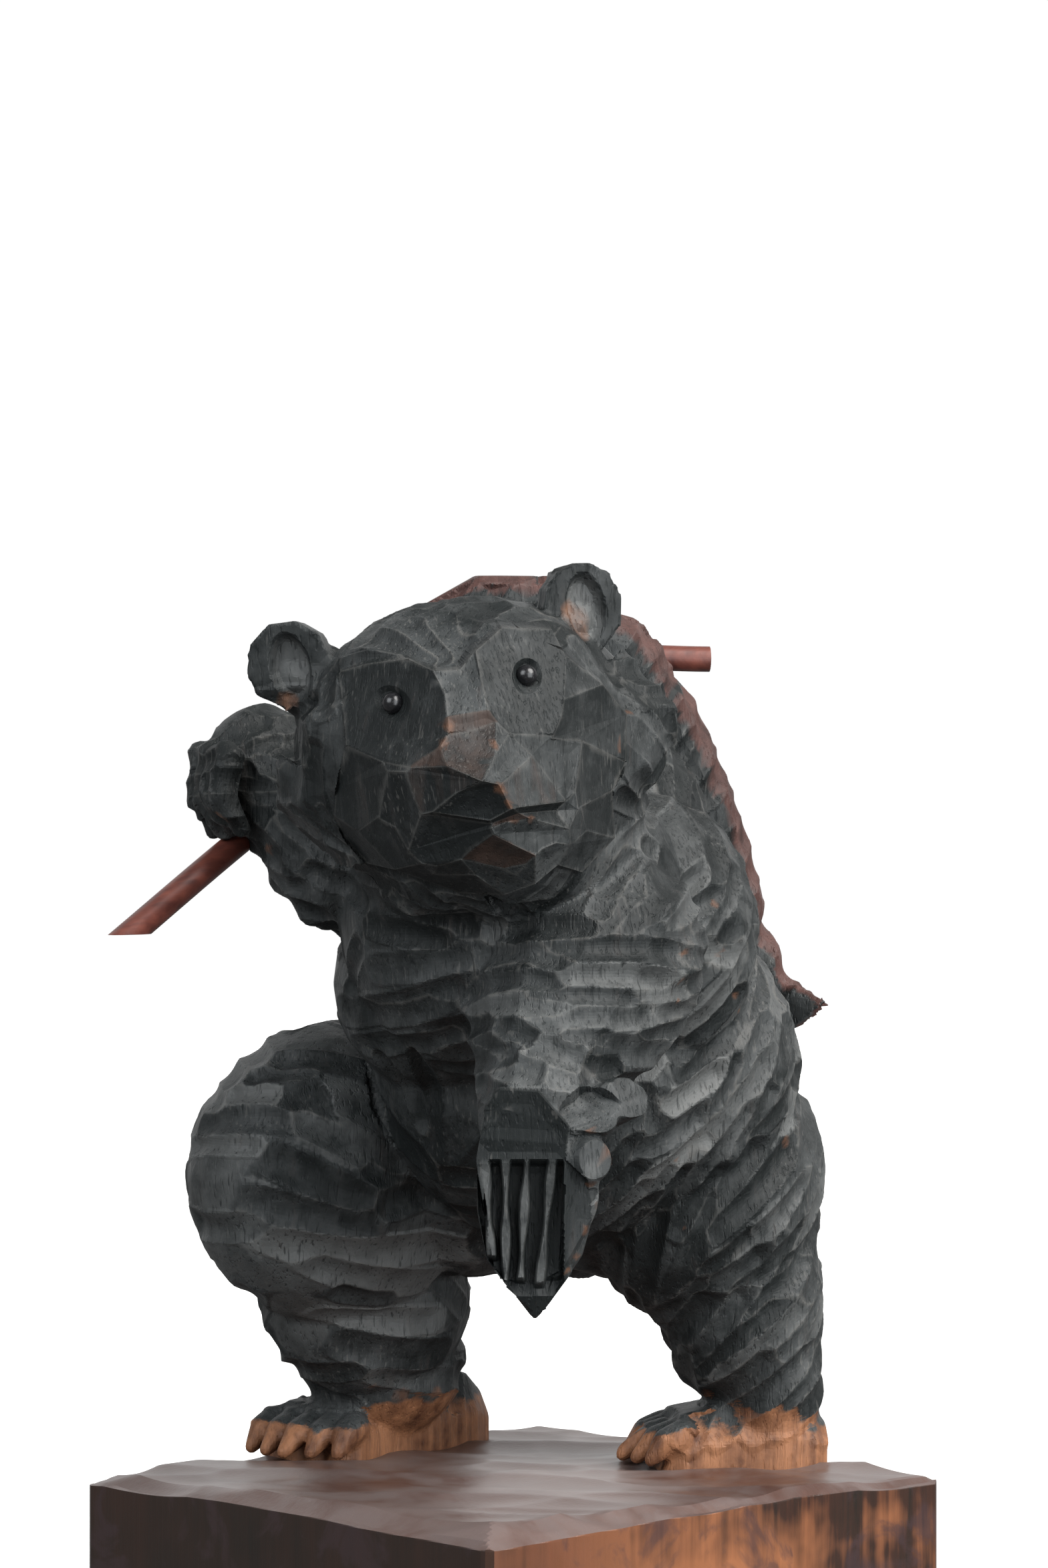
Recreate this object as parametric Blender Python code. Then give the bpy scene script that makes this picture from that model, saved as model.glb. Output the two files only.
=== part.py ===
"""Carved wooden bear walking upright, with a salmon slung on a stick over its shoulder.

The bear, the salmon and the plinth are one block. The stick and the two glass eyes are pieces
of their own. The bear walks towards -Y, its left is +X, and the plinth stands on z = 0.
"""

import math
import random

import bmesh
import bpy
import numpy as np
from mathutils import Matrix, Vector

# Driving sizes, in metres
FIGURE_HEIGHT = 0.200
PLINTH_WIDTH = 0.131
PLINTH_DEPTH = 0.138
PLINTH_HEIGHT = 0.038
EYE_DIAMETER = 0.0044
STICK_DIAMETER = 0.0058
CLEARANCE = 0.0003

# The figure is laid out in two-hundredths of its height, from the middle of the plinth's top
UNIT = FIGURE_HEIGHT / 200
FIGURE_PLACE = Vector((-2, 5, 0))

# How finely the block is carved, and how many faces are kept
CARVING_GRAIN = 1.15
LAYOUT_GRAIN = 2.4
FIGURE_FACES = 7900

# The head: its centre, how it is turned, dipped and rolled, and its eyes in its own axes
HEAD_PLACE = Vector((44.5, -63.4, 164))
HEAD_TURN = 53.9
HEAD_DIP = 10
HEAD_ROLL = 11.5
LEFT_EYE_PLACE = (14.7, 23.4, 9.4)
RIGHT_EYE_PLACE = (-12.7, 20.6, 8.7)
EYE_HOLLOW = 3.4

# The ears: the middle of each, how wide it is and how wide its hollow
EAR_PLACES = ((-29.6, -11, 15), (31.4, -11, 15.2))
EAR_RADIUS = 9.3
EAR_HOLLOW = 7

# Route of the bent stick, from its cut tip in front to its end behind the salmon
STICK_ROUTE = [
    (-13, -107, 115), (-27, -57, 139), (-29, -22, 158), (-20, 2, 172), (-6, 22, 178), (12, 46, 178),
]
STICK_CUT_LEVEL = 118.5
STICK_STEPS = 6
STICK_SIDES = 8

# Middle line of the salmon with its half height and half thickness, from snout to tail fork
SALMON = [
    ((-16, -14, 182), 5, 4),
    ((-10, -6, 183), 11, 8),
    ((-5, 7, 182), 16, 12),
    ((2, 18, 174), 19, 14),
    ((7, 26, 160), 18, 13),
    ((10, 34, 143), 17, 12),
    ((13, 43, 127), 14, 10),
    ((18, 50, 113), 8, 7),
    ((23, 55, 103), 7, 5),
    ((28, 57, 95), 13, 4),
]


def clear_scene():
    for thing in list(bpy.data.objects):
        bpy.data.objects.remove(thing)


def add_material(thing, name, colour, roughness):
    material = bpy.data.materials.new(name)
    material.use_nodes = True
    shader = material.node_tree.nodes["Principled BSDF"]
    shader.inputs["Base Color"].default_value = (*colour, 1)
    shader.inputs["Roughness"].default_value = roughness
    shader.inputs["Metallic"].default_value = 0
    thing.data.materials.append(material)


def add_object(name, bm):
    mesh = bpy.data.meshes.new(name)
    bm.to_mesh(mesh)
    bm.free()
    thing = bpy.data.objects.new(name, mesh)
    bpy.context.collection.objects.link(thing)
    return thing


def evaluated(thing):
    bpy.context.view_layer.update()
    graph = bpy.context.evaluated_depsgraph_get()
    return bpy.data.meshes.new_from_object(thing.evaluated_get(graph))


def apply_modifiers(thing):
    mesh = evaluated(thing)
    thing.modifiers.clear()
    thing.data = mesh


# Masses of the figure: every one is added to the same mesh and fused later

def add_ball(bm, centre, radii, turn=None):
    made = bmesh.ops.create_icosphere(bm, subdivisions=3, radius=1)["verts"]
    spin = turn if turn is not None else Matrix.Identity(3)
    for vert in made:
        vert.co = spin @ Vector((vert.co.x * radii[0], vert.co.y * radii[1], vert.co.z * radii[2]))
        vert.co += Vector(centre)


def add_hull(bm, points):
    corners = [bm.verts.new(point) for point in points]
    result = bmesh.ops.convex_hull(bm, input=corners)
    loose = [item for item in result["geom_interior"] if isinstance(item, bmesh.types.BMVert)]
    bmesh.ops.delete(bm, geom=loose, context="VERTS")


def ball_points(centre, radius, flat=1.0):
    bm = bmesh.new()
    bmesh.ops.create_icosphere(bm, subdivisions=2, radius=radius)
    points = [Vector((v.co.x, v.co.y, v.co.z * flat)) + Vector(centre) for v in bm.verts]
    bm.free()
    return points


def add_limb(bm, joints):
    """A tapering limb through balls given as (centre, radius)."""
    for (start, first), (end, last) in zip(joints, joints[1:]):
        add_hull(bm, ball_points(start, first) + ball_points(end, last))


def add_torso(bm):
    add_ball(bm, (-4, 27, 72), (37, 37, 33))
    add_ball(bm, (8, 4, 91), (40, 44, 43))
    add_ball(bm, (25, -27, 122), (38, 37, 37))
    add_ball(bm, (-6, 40, 78), (31, 29, 31))
    add_ball(bm, (20, 22, 88), (29, 34, 35))
    add_ball(bm, (34, 2, 118), (24, 28, 31))
    add_ball(bm, (8, 10, 138), (30, 28, 30))
    add_ball(bm, (34, -40, 143), (33, 32, 30))
    add_ball(bm, (6, 8, 60), (20, 20, 14))
    add_ball(bm, (8, -22, 107), (31, 31, 27))


PAW_PLACE = Vector((65, -58, 0))
PAW_FACE = Vector((0.724, -0.69, 0))
PAW_SIDE = Vector((0.69, 0.724, 0))

# Corners of the paw: how far out, how far across and how high
PAW = [
    (-10, -9, 88), (-10, 9, 88), (1, -9.5, 90), (1, 6, 90), (9, -12.6, 75), (9, 5.6, 75), (4, 12, 76),
    (9, -12.6, 64), (9, 5.6, 62), (4.5, 12.2, 66), (7, -10.5, 53.5), (7.5, 2.5, 50), (3, 9, 54),
    (-8, -9, 53), (-8, 9, 53), (3, -0.6, 40.5),
]


def add_left_arm(bm):
    add_limb(bm, [((50, -27, 114), 25), ((53, -38, 103), 22), ((57, -48, 94), 16)])
    add_limb(bm, [((58, -50, 92), 14), ((63, -56, 80), 12.5)])
    paw = []
    for out, across, level in PAW:
        paw.append(PAW_PLACE + PAW_FACE * out + PAW_SIDE * across + Vector((0, 0, level)))
    add_hull(bm, paw)


def add_right_arm(bm):
    add_limb(bm, [((-2, -26, 134), 24), ((-4, -47, 134), 18), ((-20, -54, 149), 13)])
    add_ball(bm, (-24, -54.5, 154), (12.3, 14, 13.4))
    for number in range(4):
        base = Vector((-31 + 4.5 * number, -66 - 1.5 * number, 156))
        add_limb(bm, [(base, 3.6), (base + Vector((1, -2.5, -9)), 3.2), (base + Vector((2, 2, -16)), 2.2)])


def add_right_leg(bm):
    add_ball(bm, (-36, -23, 64), (28, 37, 34))
    add_ball(bm, (-20, 4, 70), (26, 32, 30))
    add_ball(bm, (-42, -9, 36), (20, 27, 24))
    add_ball(bm, (-46, 0, 20), (16, 21, 18))
    add_foot(bm, heel=Vector((-57, 26, 0)), toe=Vector((-49, -18, 0)), wide=13.5)


def add_left_leg(bm):
    add_ball(bm, (19, 36, 62), (26, 30, 34))
    add_ball(bm, (24, 44, 36), (18, 20, 26))
    add_ball(bm, (26, 49, 18), (14, 14, 20))
    add_foot(bm, heel=Vector((27.5, 51, 0)), toe=Vector((14.5, 32, 0)), wide=12.5)


SOLE_DEPTH = 3


def add_foot(bm, heel, toe, wide):
    ahead = (toe - heel).normalized()
    side = Vector((-ahead.y, ahead.x, 0))
    sole = []
    back = heel - ahead * 8
    rows = ((heel - ahead * 11, 0.4, 8), (back, 0.72, 10), (heel, 0.9, 15), (toe, 1, 11))
    for place, share, rise in rows:
        half = wide * share
        for across in (-half, half):
            sole.append(place + side * across + Vector((0, 0, -SOLE_DEPTH)))
            sole.append(place + side * across + Vector((0, 0, rise * 0.4)))
            sole.append(place + side * across * 0.72 + Vector((0, 0, rise)))
    sole.append(toe + ahead * 5 + side * wide * 0.8 + Vector((0, 0, -SOLE_DEPTH)))
    sole.append(toe + ahead * 5 - side * wide * 0.8 + Vector((0, 0, -SOLE_DEPTH)))
    add_hull(bm, sole)
    toes = 5
    for number in range(toes):
        across = side * wide * (2 * number / (toes - 1) - 1) * 0.84
        reach = 12 - 2.2 * abs(number - 1.8)
        start = toe + across + Vector((0, 0, 6.5))
        tip = toe + ahead * reach + across * 1.05 + Vector((0, 0, 1.2))
        add_limb(bm, [(start, 3.6), ((start + tip) / 2 + Vector((0, 0, 1.4)), 3.2), (tip, 1.6)])


def salmon_frames():
    places = [Vector(place) for place, high, thick in SALMON]
    for number, (place, high, thick) in enumerate(SALMON):
        before = places[max(number - 1, 0)]
        after = places[min(number + 1, len(places) - 1)]
        along = (after - before).normalized()
        outward = Vector((-0.35, 0.62, 0.62))
        outward = (outward - outward.dot(along) * along).normalized()
        yield Vector(place), along, outward, along.cross(outward), high, thick


def add_salmon(bm):
    rings = []
    for place, along, outward, across, high, thick in salmon_frames():
        ring = []
        for step in range(16):
            angle = 2 * math.pi * step / 16
            ring.append(place + across * high * math.cos(angle) + outward * thick * math.sin(angle))
        rings.append(ring)
    for ring, following in zip(rings, rings[1:]):
        add_hull(bm, ring + following)
    saddle = []
    for place, along, outward, across, high, thick in salmon_frames():
        saddle.append((place - outward * 8, max(high * 0.75, 6)))
    add_limb(bm, saddle[2:9])


# The head has its own axes: left, forward and up

def head_axes():
    turn, dip, roll = (math.radians(angle) for angle in (HEAD_TURN, HEAD_DIP, HEAD_ROLL))
    heading = Vector((math.sin(turn), -math.cos(turn), 0))
    forward = heading * math.cos(dip) - Vector((0, 0, 1)) * math.sin(dip)
    left = Vector((math.cos(turn), math.sin(turn), 0))
    up = forward.cross(left)
    rolled_left = left * math.cos(roll) + up * math.sin(roll)
    rolled_up = up * math.cos(roll) - left * math.sin(roll)
    return Matrix((rolled_left, forward, rolled_up)).transposed()


def head_point(left, forward, up):
    return HEAD_PLACE + head_axes() @ Vector((left, forward, up))


def head_hull(bm, points):
    add_hull(bm, [head_point(*point) for point in points])


# Each block of the head is the hull of its own corners, in head axes, so its sides are knife cuts

SKULL_AND_EYES = [
    (-3, 24, 14), (5, 24, 15.5), (-2.5, 36.5, 6.4), (5.5, 36.5, 5.8), (11.6, 19, 19), (23.3, 15, 11.4),
    (25, 14, 7), (21.6, 21, -1.3), (17.3, 26, -3.4), (6.4, 35, 4), (-9.5, 18, 16.6), (-20, 11, 11),
    (-20.5, 17, 1.8), (-12.3, 31, -3), (-14, 2, 20), (20, -4, 19), (2, 4, 24), (-28, -6, 0), (30, -6, 0),
]
NOSE = [
    (-3.7, 34, 2.9), (4.4, 34, 2.3), (-5, 47, -5.3), (0.6, 47.5, -5.9), (-9, 39, -2.8), (7.5, 32, 0),
    (3.4, 46, -7.6), (-6, 45.5, -11.5), (2, 46, -12.5), (7, 30, -12), (-8, 30, -12),
]
UPPER_LIP = [
    (10.7, 31, -0.2), (11.6, 36, -4.7), (16.9, 33, -13.2), (5.4, 45, -12.9), (3.9, 45.6, -7.3), (-12.3, 33, -4),
    (-13.3, 36, -12.3), (-6, 43, -13.2), (18, 16, -13), (-18, 16, -12), (17, 20, -3), (-16, 20, -3),
]
JAW = [
    (16, 30, -16.6), (17.5, 27, -24.8), (8.3, 37, -24.7), (0.7, 40, -19), (-1.5, 41.5, -15.9), (5, 41.5, -15.9),
    (-12.5, 34, -15), (-7.5, 33, -23.2), (4.3, 35, -28), (-2.9, 29, -31.5), (18, 12, -18), (-18, 12, -18),
    (14, 12, -32), (-12, 12, -33), (12, 20, -12), (-12, 20, -12),
]
LEFT_CHEEK = [
    (21.6, 21, -1.3), (17.3, 26, -3.4), (17, 30, -12), (29.3, 14, -19.2), (35.6, 8, -17.8), (35.8, 4, -7),
    (25, 14, 7), (23, 15, 11), (17.5, 26, -23.5), (34, -12, 8), (40, -16, -8), (34, -14, -24), (8, -10, -18),
]
LEFT_RUFF = [
    (35.8, 4, -7), (48, -8, -7.6), (46.4, -8, -17), (35.7, 0, -26.9), (35.6, 8, -17.8), (29.3, 13, -19.2),
    (44, -22, -8), (36, -24, -24), (20, -12, -20), (39, -12, 5), (28, 2, 0),
]
LEFT_THROAT = [
    (29.3, 13, -19.2), (35.7, 0, -26.9), (21.6, 4, -43), (9.3, 9, -43), (17.5, 25, -25), (4.3, 32, -28.5),
    (-2.9, 27, -31.5), (8, -14, -34), (30, -16, -26), (12, 4, -16),
]
RIGHT_CHEEK = [
    (-20.5, 17, 1.8), (-12.3, 31, -3), (-26.5, 12, -8.2), (-17.8, 22, -0.7), (-22.6, 14, -16.2), (-13.1, 33, -12),
    (-20, 11, 11), (-31, 1, 5), (-33, -2, -10), (-30, -16, 6), (-32, -18, -14), (0, -8, -18), (-14.1, 24, -19.8),
]
RIGHT_RUFF = [
    (-26.5, 11, -8.2), (-22.6, 14, -16.2), (-35.5, -3, -12), (-36, -10, -2), (-27, 4, -27), (-31, -14, -24),
    (-14.1, 23, -19.8), (-16, -12, -20), (-38, -14, -14),
]
RIGHT_THROAT = [
    (-22.6, 13, -16.2), (-18.3, 7, -32.9), (-17, 3, -39.1), (-14.1, 23, -19.8), (-7.5, 30, -23), (-3, 27, -31),
    (0, -14, -36), (2, 7, -43), (-28, -8, -26), (-8, 2, -14),
]
HEAD_BLOCKS = [
    SKULL_AND_EYES, NOSE, UPPER_LIP, JAW, LEFT_CHEEK, LEFT_RUFF, LEFT_THROAT,
    RIGHT_CHEEK, RIGHT_RUFF, RIGHT_THROAT,
]


def add_head(bm):
    axes = head_axes()
    add_ball(bm, head_point(2, -6, 2.5), (30, 28, 20.5), axes)
    add_ball(bm, head_point(4, -16, -8), (37, 22, 27), axes)
    for block in HEAD_BLOCKS:
        head_hull(bm, block)
    for side, place in zip((-1, 1), EAR_PLACES):
        add_ear(bm, side, place)


def add_ear(bm, side, place):
    middle = head_point(*place)
    axes = head_axes()
    facing = (axes @ Vector((side * 0.35, 1, 0.1))).normalized()
    across = facing.cross(axes.col[2]).normalized()
    rise = across.cross(facing)
    outer = []
    for step in range(10):
        angle = 2 * math.pi * step / 10
        spoke = across * math.cos(angle) * EAR_RADIUS + rise * math.sin(angle) * EAR_RADIUS * 1.05
        outer.append(middle + spoke + facing * 2.5)
        outer.append(middle + spoke * 0.86 - facing * 6)
    add_hull(bm, outer)
    root = head_point(place[0] * 0.75, -12, 8)
    add_limb(bm, [(root, 9), (middle - rise * 3 - facing * 3, 7)])


def form_of_body():
    bm = bmesh.new()
    add_torso(bm)
    add_left_arm(bm)
    add_right_arm(bm)
    add_right_leg(bm)
    add_left_leg(bm)
    return bm


def form_of_head_and_salmon():
    bm = bmesh.new()
    add_salmon(bm)
    add_head(bm)
    return bm


def fuse(thing, grain, smoothing):
    """Grow the masses together into one skin, at a grain given in figure units."""
    grow = thing.modifiers.new("grow", "REMESH")
    grow.mode = "VOXEL"
    grow.voxel_size = grain
    soften = thing.modifiers.new("soften", "SMOOTH")
    soften.factor = 0.5
    soften.iterations = smoothing
    apply_modifiers(thing)


def fused_figure(grain):
    figure = add_object("figure", form_of_body())
    fuse(figure, grain, 4)
    together = form_of_head_and_salmon()
    together.from_mesh(figure.data)
    joined = add_object("joined", together)
    bpy.data.objects.remove(figure)
    fuse(joined, grain, 1)
    return joined


def mesh_arrays(mesh):
    count = len(mesh.vertices)
    places = np.empty(count * 3)
    normals = np.empty(count * 3)
    mesh.vertices.foreach_get("co", places)
    mesh.vertices.foreach_get("normal", normals)
    return places.reshape(-1, 3), normals.reshape(-1, 3)


# Carving with a gouge: a stroke is (place, normal, along, across, width, length, depth)

GOUGE_WORK = [
    # where on the figure, reach, lie of the strokes in degrees, width, length, depth
    ((-34, -24, 62), 38, 4, 4.8, 18, 2.1),
    ((-42, -8, 26), 26, -4, 4.8, 17, 2.0),
    ((-20, 0, 98), 20, -40, 5.5, 17, 2.1),
    ((56, -34, 112), 22, 6, 5.6, 25, 2.3),
    ((60, -52, 92), 13, -10, 6.5, 13, 2.2),
    ((30, -28, 128), 26, -20, 6, 18, 2.1),
    ((44, 6, 118), 26, 52, 5.4, 21, 2.2),
    ((40, 22, 88), 30, 45, 5.6, 21, 2.2),
    ((26, 24, 62), 24, 62, 5.2, 17, 2.0),
    ((26, 44, 44), 26, 42, 5, 17, 2.0),
    ((-4, -47, 134), 22, -30, 5.6, 15, 2.1),
    ((-25, -55, 154), 12, 10, 6.5, 11, 1.8),
    ((-10, 62, 80), 34, 75, 5.8, 20, 2.2),
    ((-30, 20, 110), 34, 60, 5.8, 20, 2.2),
]
FACE_START = 9
BROW = 15
PAW_REACH = 17
PAW_TOP = 84
SALMON_MARGIN = 3.5
WOOD_LEFT_FOR_GOUGE = 0.8


def head_nearness(places):
    shifted = places - np.array(head_point(3, 4, -2))
    local = shifted @ np.array(head_axes())
    return np.sqrt((local[:, 0] / 41) ** 2 + (local[:, 1] / 46) ** 2 + (local[:, 2] / 31) ** 2)


def salmon_nearness(places):
    """Below 1 on the salmon, worked out from its rings."""
    best = np.full(len(places), 9.0)
    frames = list(salmon_frames())
    for (start, a0, o0, c0, h0, t0), (end, a1, o1, c1, h1, t1) in zip(frames, frames[1:]):
        for share in (0.0, 0.5):
            centre = np.array(start.lerp(end, share))
            offset = places - centre
            high = h0 + (h1 - h0) * share + SALMON_MARGIN
            thick = t0 + (t1 - t0) * share + SALMON_MARGIN
            along = offset @ np.array(a0)
            out = offset @ np.array(o0)
            wide = offset @ np.array(c0)
            near = np.sqrt((wide / high) ** 2 + (out / thick) ** 2 + (along / 8) ** 2)
            near = np.where(out < -0.35 * thick, 9.0, near)
            best = np.minimum(best, near)
    return best


def lie_of_strokes(normal, degrees):
    level = np.cross((0, 0, 1), normal)
    size = np.linalg.norm(level)
    level = np.array((1.0, 0, 0)) if size < 0.05 else level / size
    rise = np.cross(normal, level)
    angle = math.radians(degrees)
    return level * math.cos(angle) + rise * math.sin(angle)


def lay_strokes(layout):
    """Strokes spread over the skin so that none starts inside another."""
    places, normals = mesh_arrays(layout.data)
    chooser = random.Random(11)
    order = list(range(len(places)))
    chooser.shuffle(order)
    near_head = head_nearness(places)
    from_head = (places - np.array(HEAD_PLACE)) @ np.array(head_axes())
    ahead_of_skull = from_head[:, 1]
    above_chin = from_head[:, 2]
    from_paw = np.linalg.norm((places - np.array(PAW_PLACE))[:, :2], axis=1)
    near_salmon = salmon_nearness(places)
    spots = np.array([work[0] for work in GOUGE_WORK], dtype=float)
    reach = np.array([work[1] for work in GOUGE_WORK], dtype=float)
    strokes = []
    taken = np.zeros((len(order), 3))
    alongs = np.zeros((len(order), 3))
    acrosses = np.zeros((len(order), 3))
    sizes = np.zeros((len(order), 2))
    used = 0
    for number in order:
        place = places[number]
        if place[2] < 13 or near_salmon[number] < 1.05:
            continue
        if from_paw[number] < PAW_REACH and place[2] < PAW_TOP:
            continue
        normal = normals[number]
        if near_head[number] < 1.0:
            if ahead_of_skull[number] > FACE_START and above_chin[number] < BROW:
                continue
            angle, width, length, depth = chooser.uniform(40, 140), 8.5, 12, 1.7
        else:
            weight = np.exp(-(((places[number] - spots) ** 2).sum(axis=1)) / reach ** 2)
            work = GOUGE_WORK[int(weight.argmax())]
            angle, width, length, depth = work[2], work[3], work[4], work[5]
            angle += chooser.uniform(-11, 11)
        width *= chooser.uniform(0.82, 1.2)
        length *= chooser.uniform(0.8, 1.2)
        along = lie_of_strokes(normal, angle)
        across = np.cross(normal, along)
        if used:
            offset = taken[:used] - place
            mean_width = (sizes[:used, 0] + width) / 2
            mean_length = (sizes[:used, 1] + length) / 2
            beside = (offset * (acrosses[:used] + across)).sum(axis=1) / 2
            ahead = (offset * (alongs[:used] + along)).sum(axis=1) / 2
            lift = offset @ normal
            gap = (beside / (0.74 * mean_width)) ** 2 + (ahead / (0.66 * mean_length)) ** 2 + (lift / 9) ** 2
            if gap.min() < 1:
                continue
        taken[used] = place
        alongs[used] = along
        acrosses[used] = across
        sizes[used] = (width, length)
        used += 1
        strokes.append((place, normal, along, across, width, length, depth * chooser.uniform(0.85, 1.15)))
    return strokes


def gouge(places, normals, strokes):
    """Lower every point by the deepest scoop above it, so that ridges stand between scoops."""
    cut = np.zeros(len(places))
    for place, normal, along, across, width, length, depth in strokes:
        reach = 0.62 * length + 1
        near = np.flatnonzero(np.abs(places - place).max(axis=1) < reach)
        offset = places[near] - place
        u = (offset @ across) / (0.72 * width)
        v = (offset @ along) / (0.62 * length)
        facing = normals[near] @ normal
        trough = depth * (1 - u * u) * np.minimum(0.7 + 0.42 * v, 3.4 * (1 - v))
        trough[(np.abs(v) > 1) | (np.abs(u) > 1) | (facing < 0.25)] = 0
        cut[near] = np.maximum(cut[near], trough)
    worked = np.clip(cut / 0.4, 0, 1)
    return places - normals * (cut - WOOD_LEFT_FOR_GOUGE * worked)[:, None]


def hollow_ears(places):
    axes = head_axes()
    for side, place in zip((-1, 1), EAR_PLACES):
        middle = np.array(head_point(*place))
        facing = np.array((axes @ Vector((side * 0.35, 1, 0.1))).normalized())
        offset = places - middle
        lift = offset @ facing
        flat = np.linalg.norm(offset - lift[:, None] * facing, axis=1)
        dish = 6.5 * np.clip(1 - (flat / EAR_HOLLOW) ** 2, 0, 1)
        inside = (lift > -4) & (lift < 6) & (flat < EAR_HOLLOW)
        places[inside] -= dish[inside, None] * facing
    return places


# Each claw: how far across at its root and at its tip, and how high the tip is
CLAWS = [(-10.8, -9.4, 53), (-6.6, -6.6, 48), (-2.3, -3.6, 48.5), (2.9, 0.2, 47.5)]
CLAW_ROOT = 74
CLAW_HALF = 1.35
CLAW_WAVE = 0.45
CLAW_WALL = 1
CLAW_DEPTH = 2.2
CLAW_FOOT = 46
CLAW_GROUND = (-13.5, 5.2)


def carve_claws(places, normals):
    """The ground round the four claws of the hanging paw is cut away, so that they stand up."""
    offset = places - np.array(PAW_PLACE)
    across = offset @ np.array(PAW_SIDE)
    out = offset @ np.array(PAW_FACE)
    level = places[:, 2]
    standing = np.zeros(len(places))
    for number, (root, tip, tip_level) in enumerate(CLAWS):
        down = np.clip((CLAW_ROOT - level) / (CLAW_ROOT - tip_level), 0, 1.2)
        half = CLAW_HALF + CLAW_WAVE * np.sin(9 * down + 2.1 * number)
        middle = root + (tip - root) * down
        ridge = np.clip((half - np.abs(across - middle)) / CLAW_WALL + 0.5, 0, 1)
        standing = np.maximum(standing, ridge * np.clip((level - tip_level) / 1.5, 0, 1))
    within = (across > CLAW_GROUND[0]) & (across < CLAW_GROUND[1]) & (level > CLAW_FOOT) & (level < CLAW_ROOT)
    within &= out > 1
    facing = np.clip((normals @ np.array(PAW_FACE) - 0.25) / 0.4, 0, 1)
    fade = np.clip((CLAW_ROOT - level) / 1.5, 0, 1) * np.clip((level - CLAW_FOOT) / 3, 0, 1)
    depth = CLAW_DEPTH * (1 - standing) * fade * facing
    places[within] -= depth[within, None] * np.array(PAW_FACE)
    return places


# Knife lines on the salmon, each at a ring number: where it runs, how wide and how deep
SALMON_LINES = [(2.35, 1.2, 1.1), (2.0, 0.9, 0.6)]


def along_salmon(places):
    """For each point: the ring number along the salmon, and how far across and outwards it lies."""
    frames = list(salmon_frames())
    best = np.full(len(places), 1e9)
    ring = np.zeros(len(places))
    across = np.zeros(len(places))
    outward = np.zeros(len(places))
    for number, (start, following) in enumerate(zip(frames, frames[1:])):
        step = np.array(following[0] - start[0])
        offset = places - np.array(start[0])
        share = np.clip(offset @ step / (step @ step), 0, 1)
        rest = offset - share[:, None] * step
        distance = (rest ** 2).sum(axis=1)
        nearer = distance < best
        best[nearer] = distance[nearer]
        ring[nearer] = number + share[nearer]
        across[nearer] = rest[nearer] @ np.array(start[3])
        outward[nearer] = rest[nearer] @ np.array(start[2])
    return ring, across, outward


def carve_salmon(places, normals):
    """A gill cover, the edge of the back and the rays of the tail."""
    ring, across, outward = along_salmon(places)
    near = (salmon_nearness(places) < 1) & (outward > 0)
    cut = np.zeros(len(places))
    for where, wide, deep in SALMON_LINES:
        bowed = ring + (across / 26) ** 2
        cut = np.maximum(cut, deep * np.clip(1 - np.abs(bowed - where) * 11 / wide, 0, 1))
    rays = 0.9 * np.abs(np.sin(across * 1.25)) * np.clip((ring - 8) * 2, 0, 1)
    cut = np.where(near, np.maximum(cut, rays), 0)
    return places - normals * cut[:, None]


def hollow_eyes(places):
    """A shallow hollow round each bead."""
    forward = np.array(head_axes().col[1])
    for spot in (LEFT_EYE_PLACE, RIGHT_EYE_PLACE):
        offset = places - np.array(head_point(*spot))
        lift = offset @ forward
        flat = np.linalg.norm(offset - lift[:, None] * forward, axis=1)
        dish = 1.3 * np.clip(1 - (flat / EYE_HOLLOW) ** 4, 0, 1)
        inside = (np.abs(lift) < 6) & (flat < EYE_HOLLOW)
        places[inside] -= dish[inside, None] * forward
    return places


def carve_figure():
    layout = fused_figure(LAYOUT_GRAIN)
    figure = fused_figure(CARVING_GRAIN)
    strokes = lay_strokes(layout)
    places, normals = mesh_arrays(figure.data)
    places = gouge(places, normals, strokes)
    places = carve_salmon(places, normals)
    places = hollow_ears(places)
    places = hollow_eyes(places)
    places = carve_claws(places, normals)
    places = (places + np.array(FIGURE_PLACE)) * UNIT
    places[:, 2] += PLINTH_HEIGHT
    figure.data.vertices.foreach_set("co", places.ravel())
    figure.data.update()
    print("strokes", len(strokes), "points", len(places))
    bpy.data.objects.remove(layout)
    thin = figure.modifiers.new("thin", "DECIMATE")
    triangles = sum(len(face.vertices) - 2 for face in figure.data.polygons)
    thin.ratio = FIGURE_FACES / triangles
    apply_modifiers(figure)
    return figure


# The plinth: a sawn block with hewn corners and edges

def cut_corner(bm, point, normal):
    geometry = bm.verts[:] + bm.edges[:] + bm.faces[:]
    bmesh.ops.bisect_plane(bm, geom=geometry, plane_co=point, plane_no=normal, clear_outer=True)
    rim = [edge for edge in bm.edges if edge.is_boundary]
    if rim:
        bmesh.ops.contextual_create(bm, geom=rim)


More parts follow.
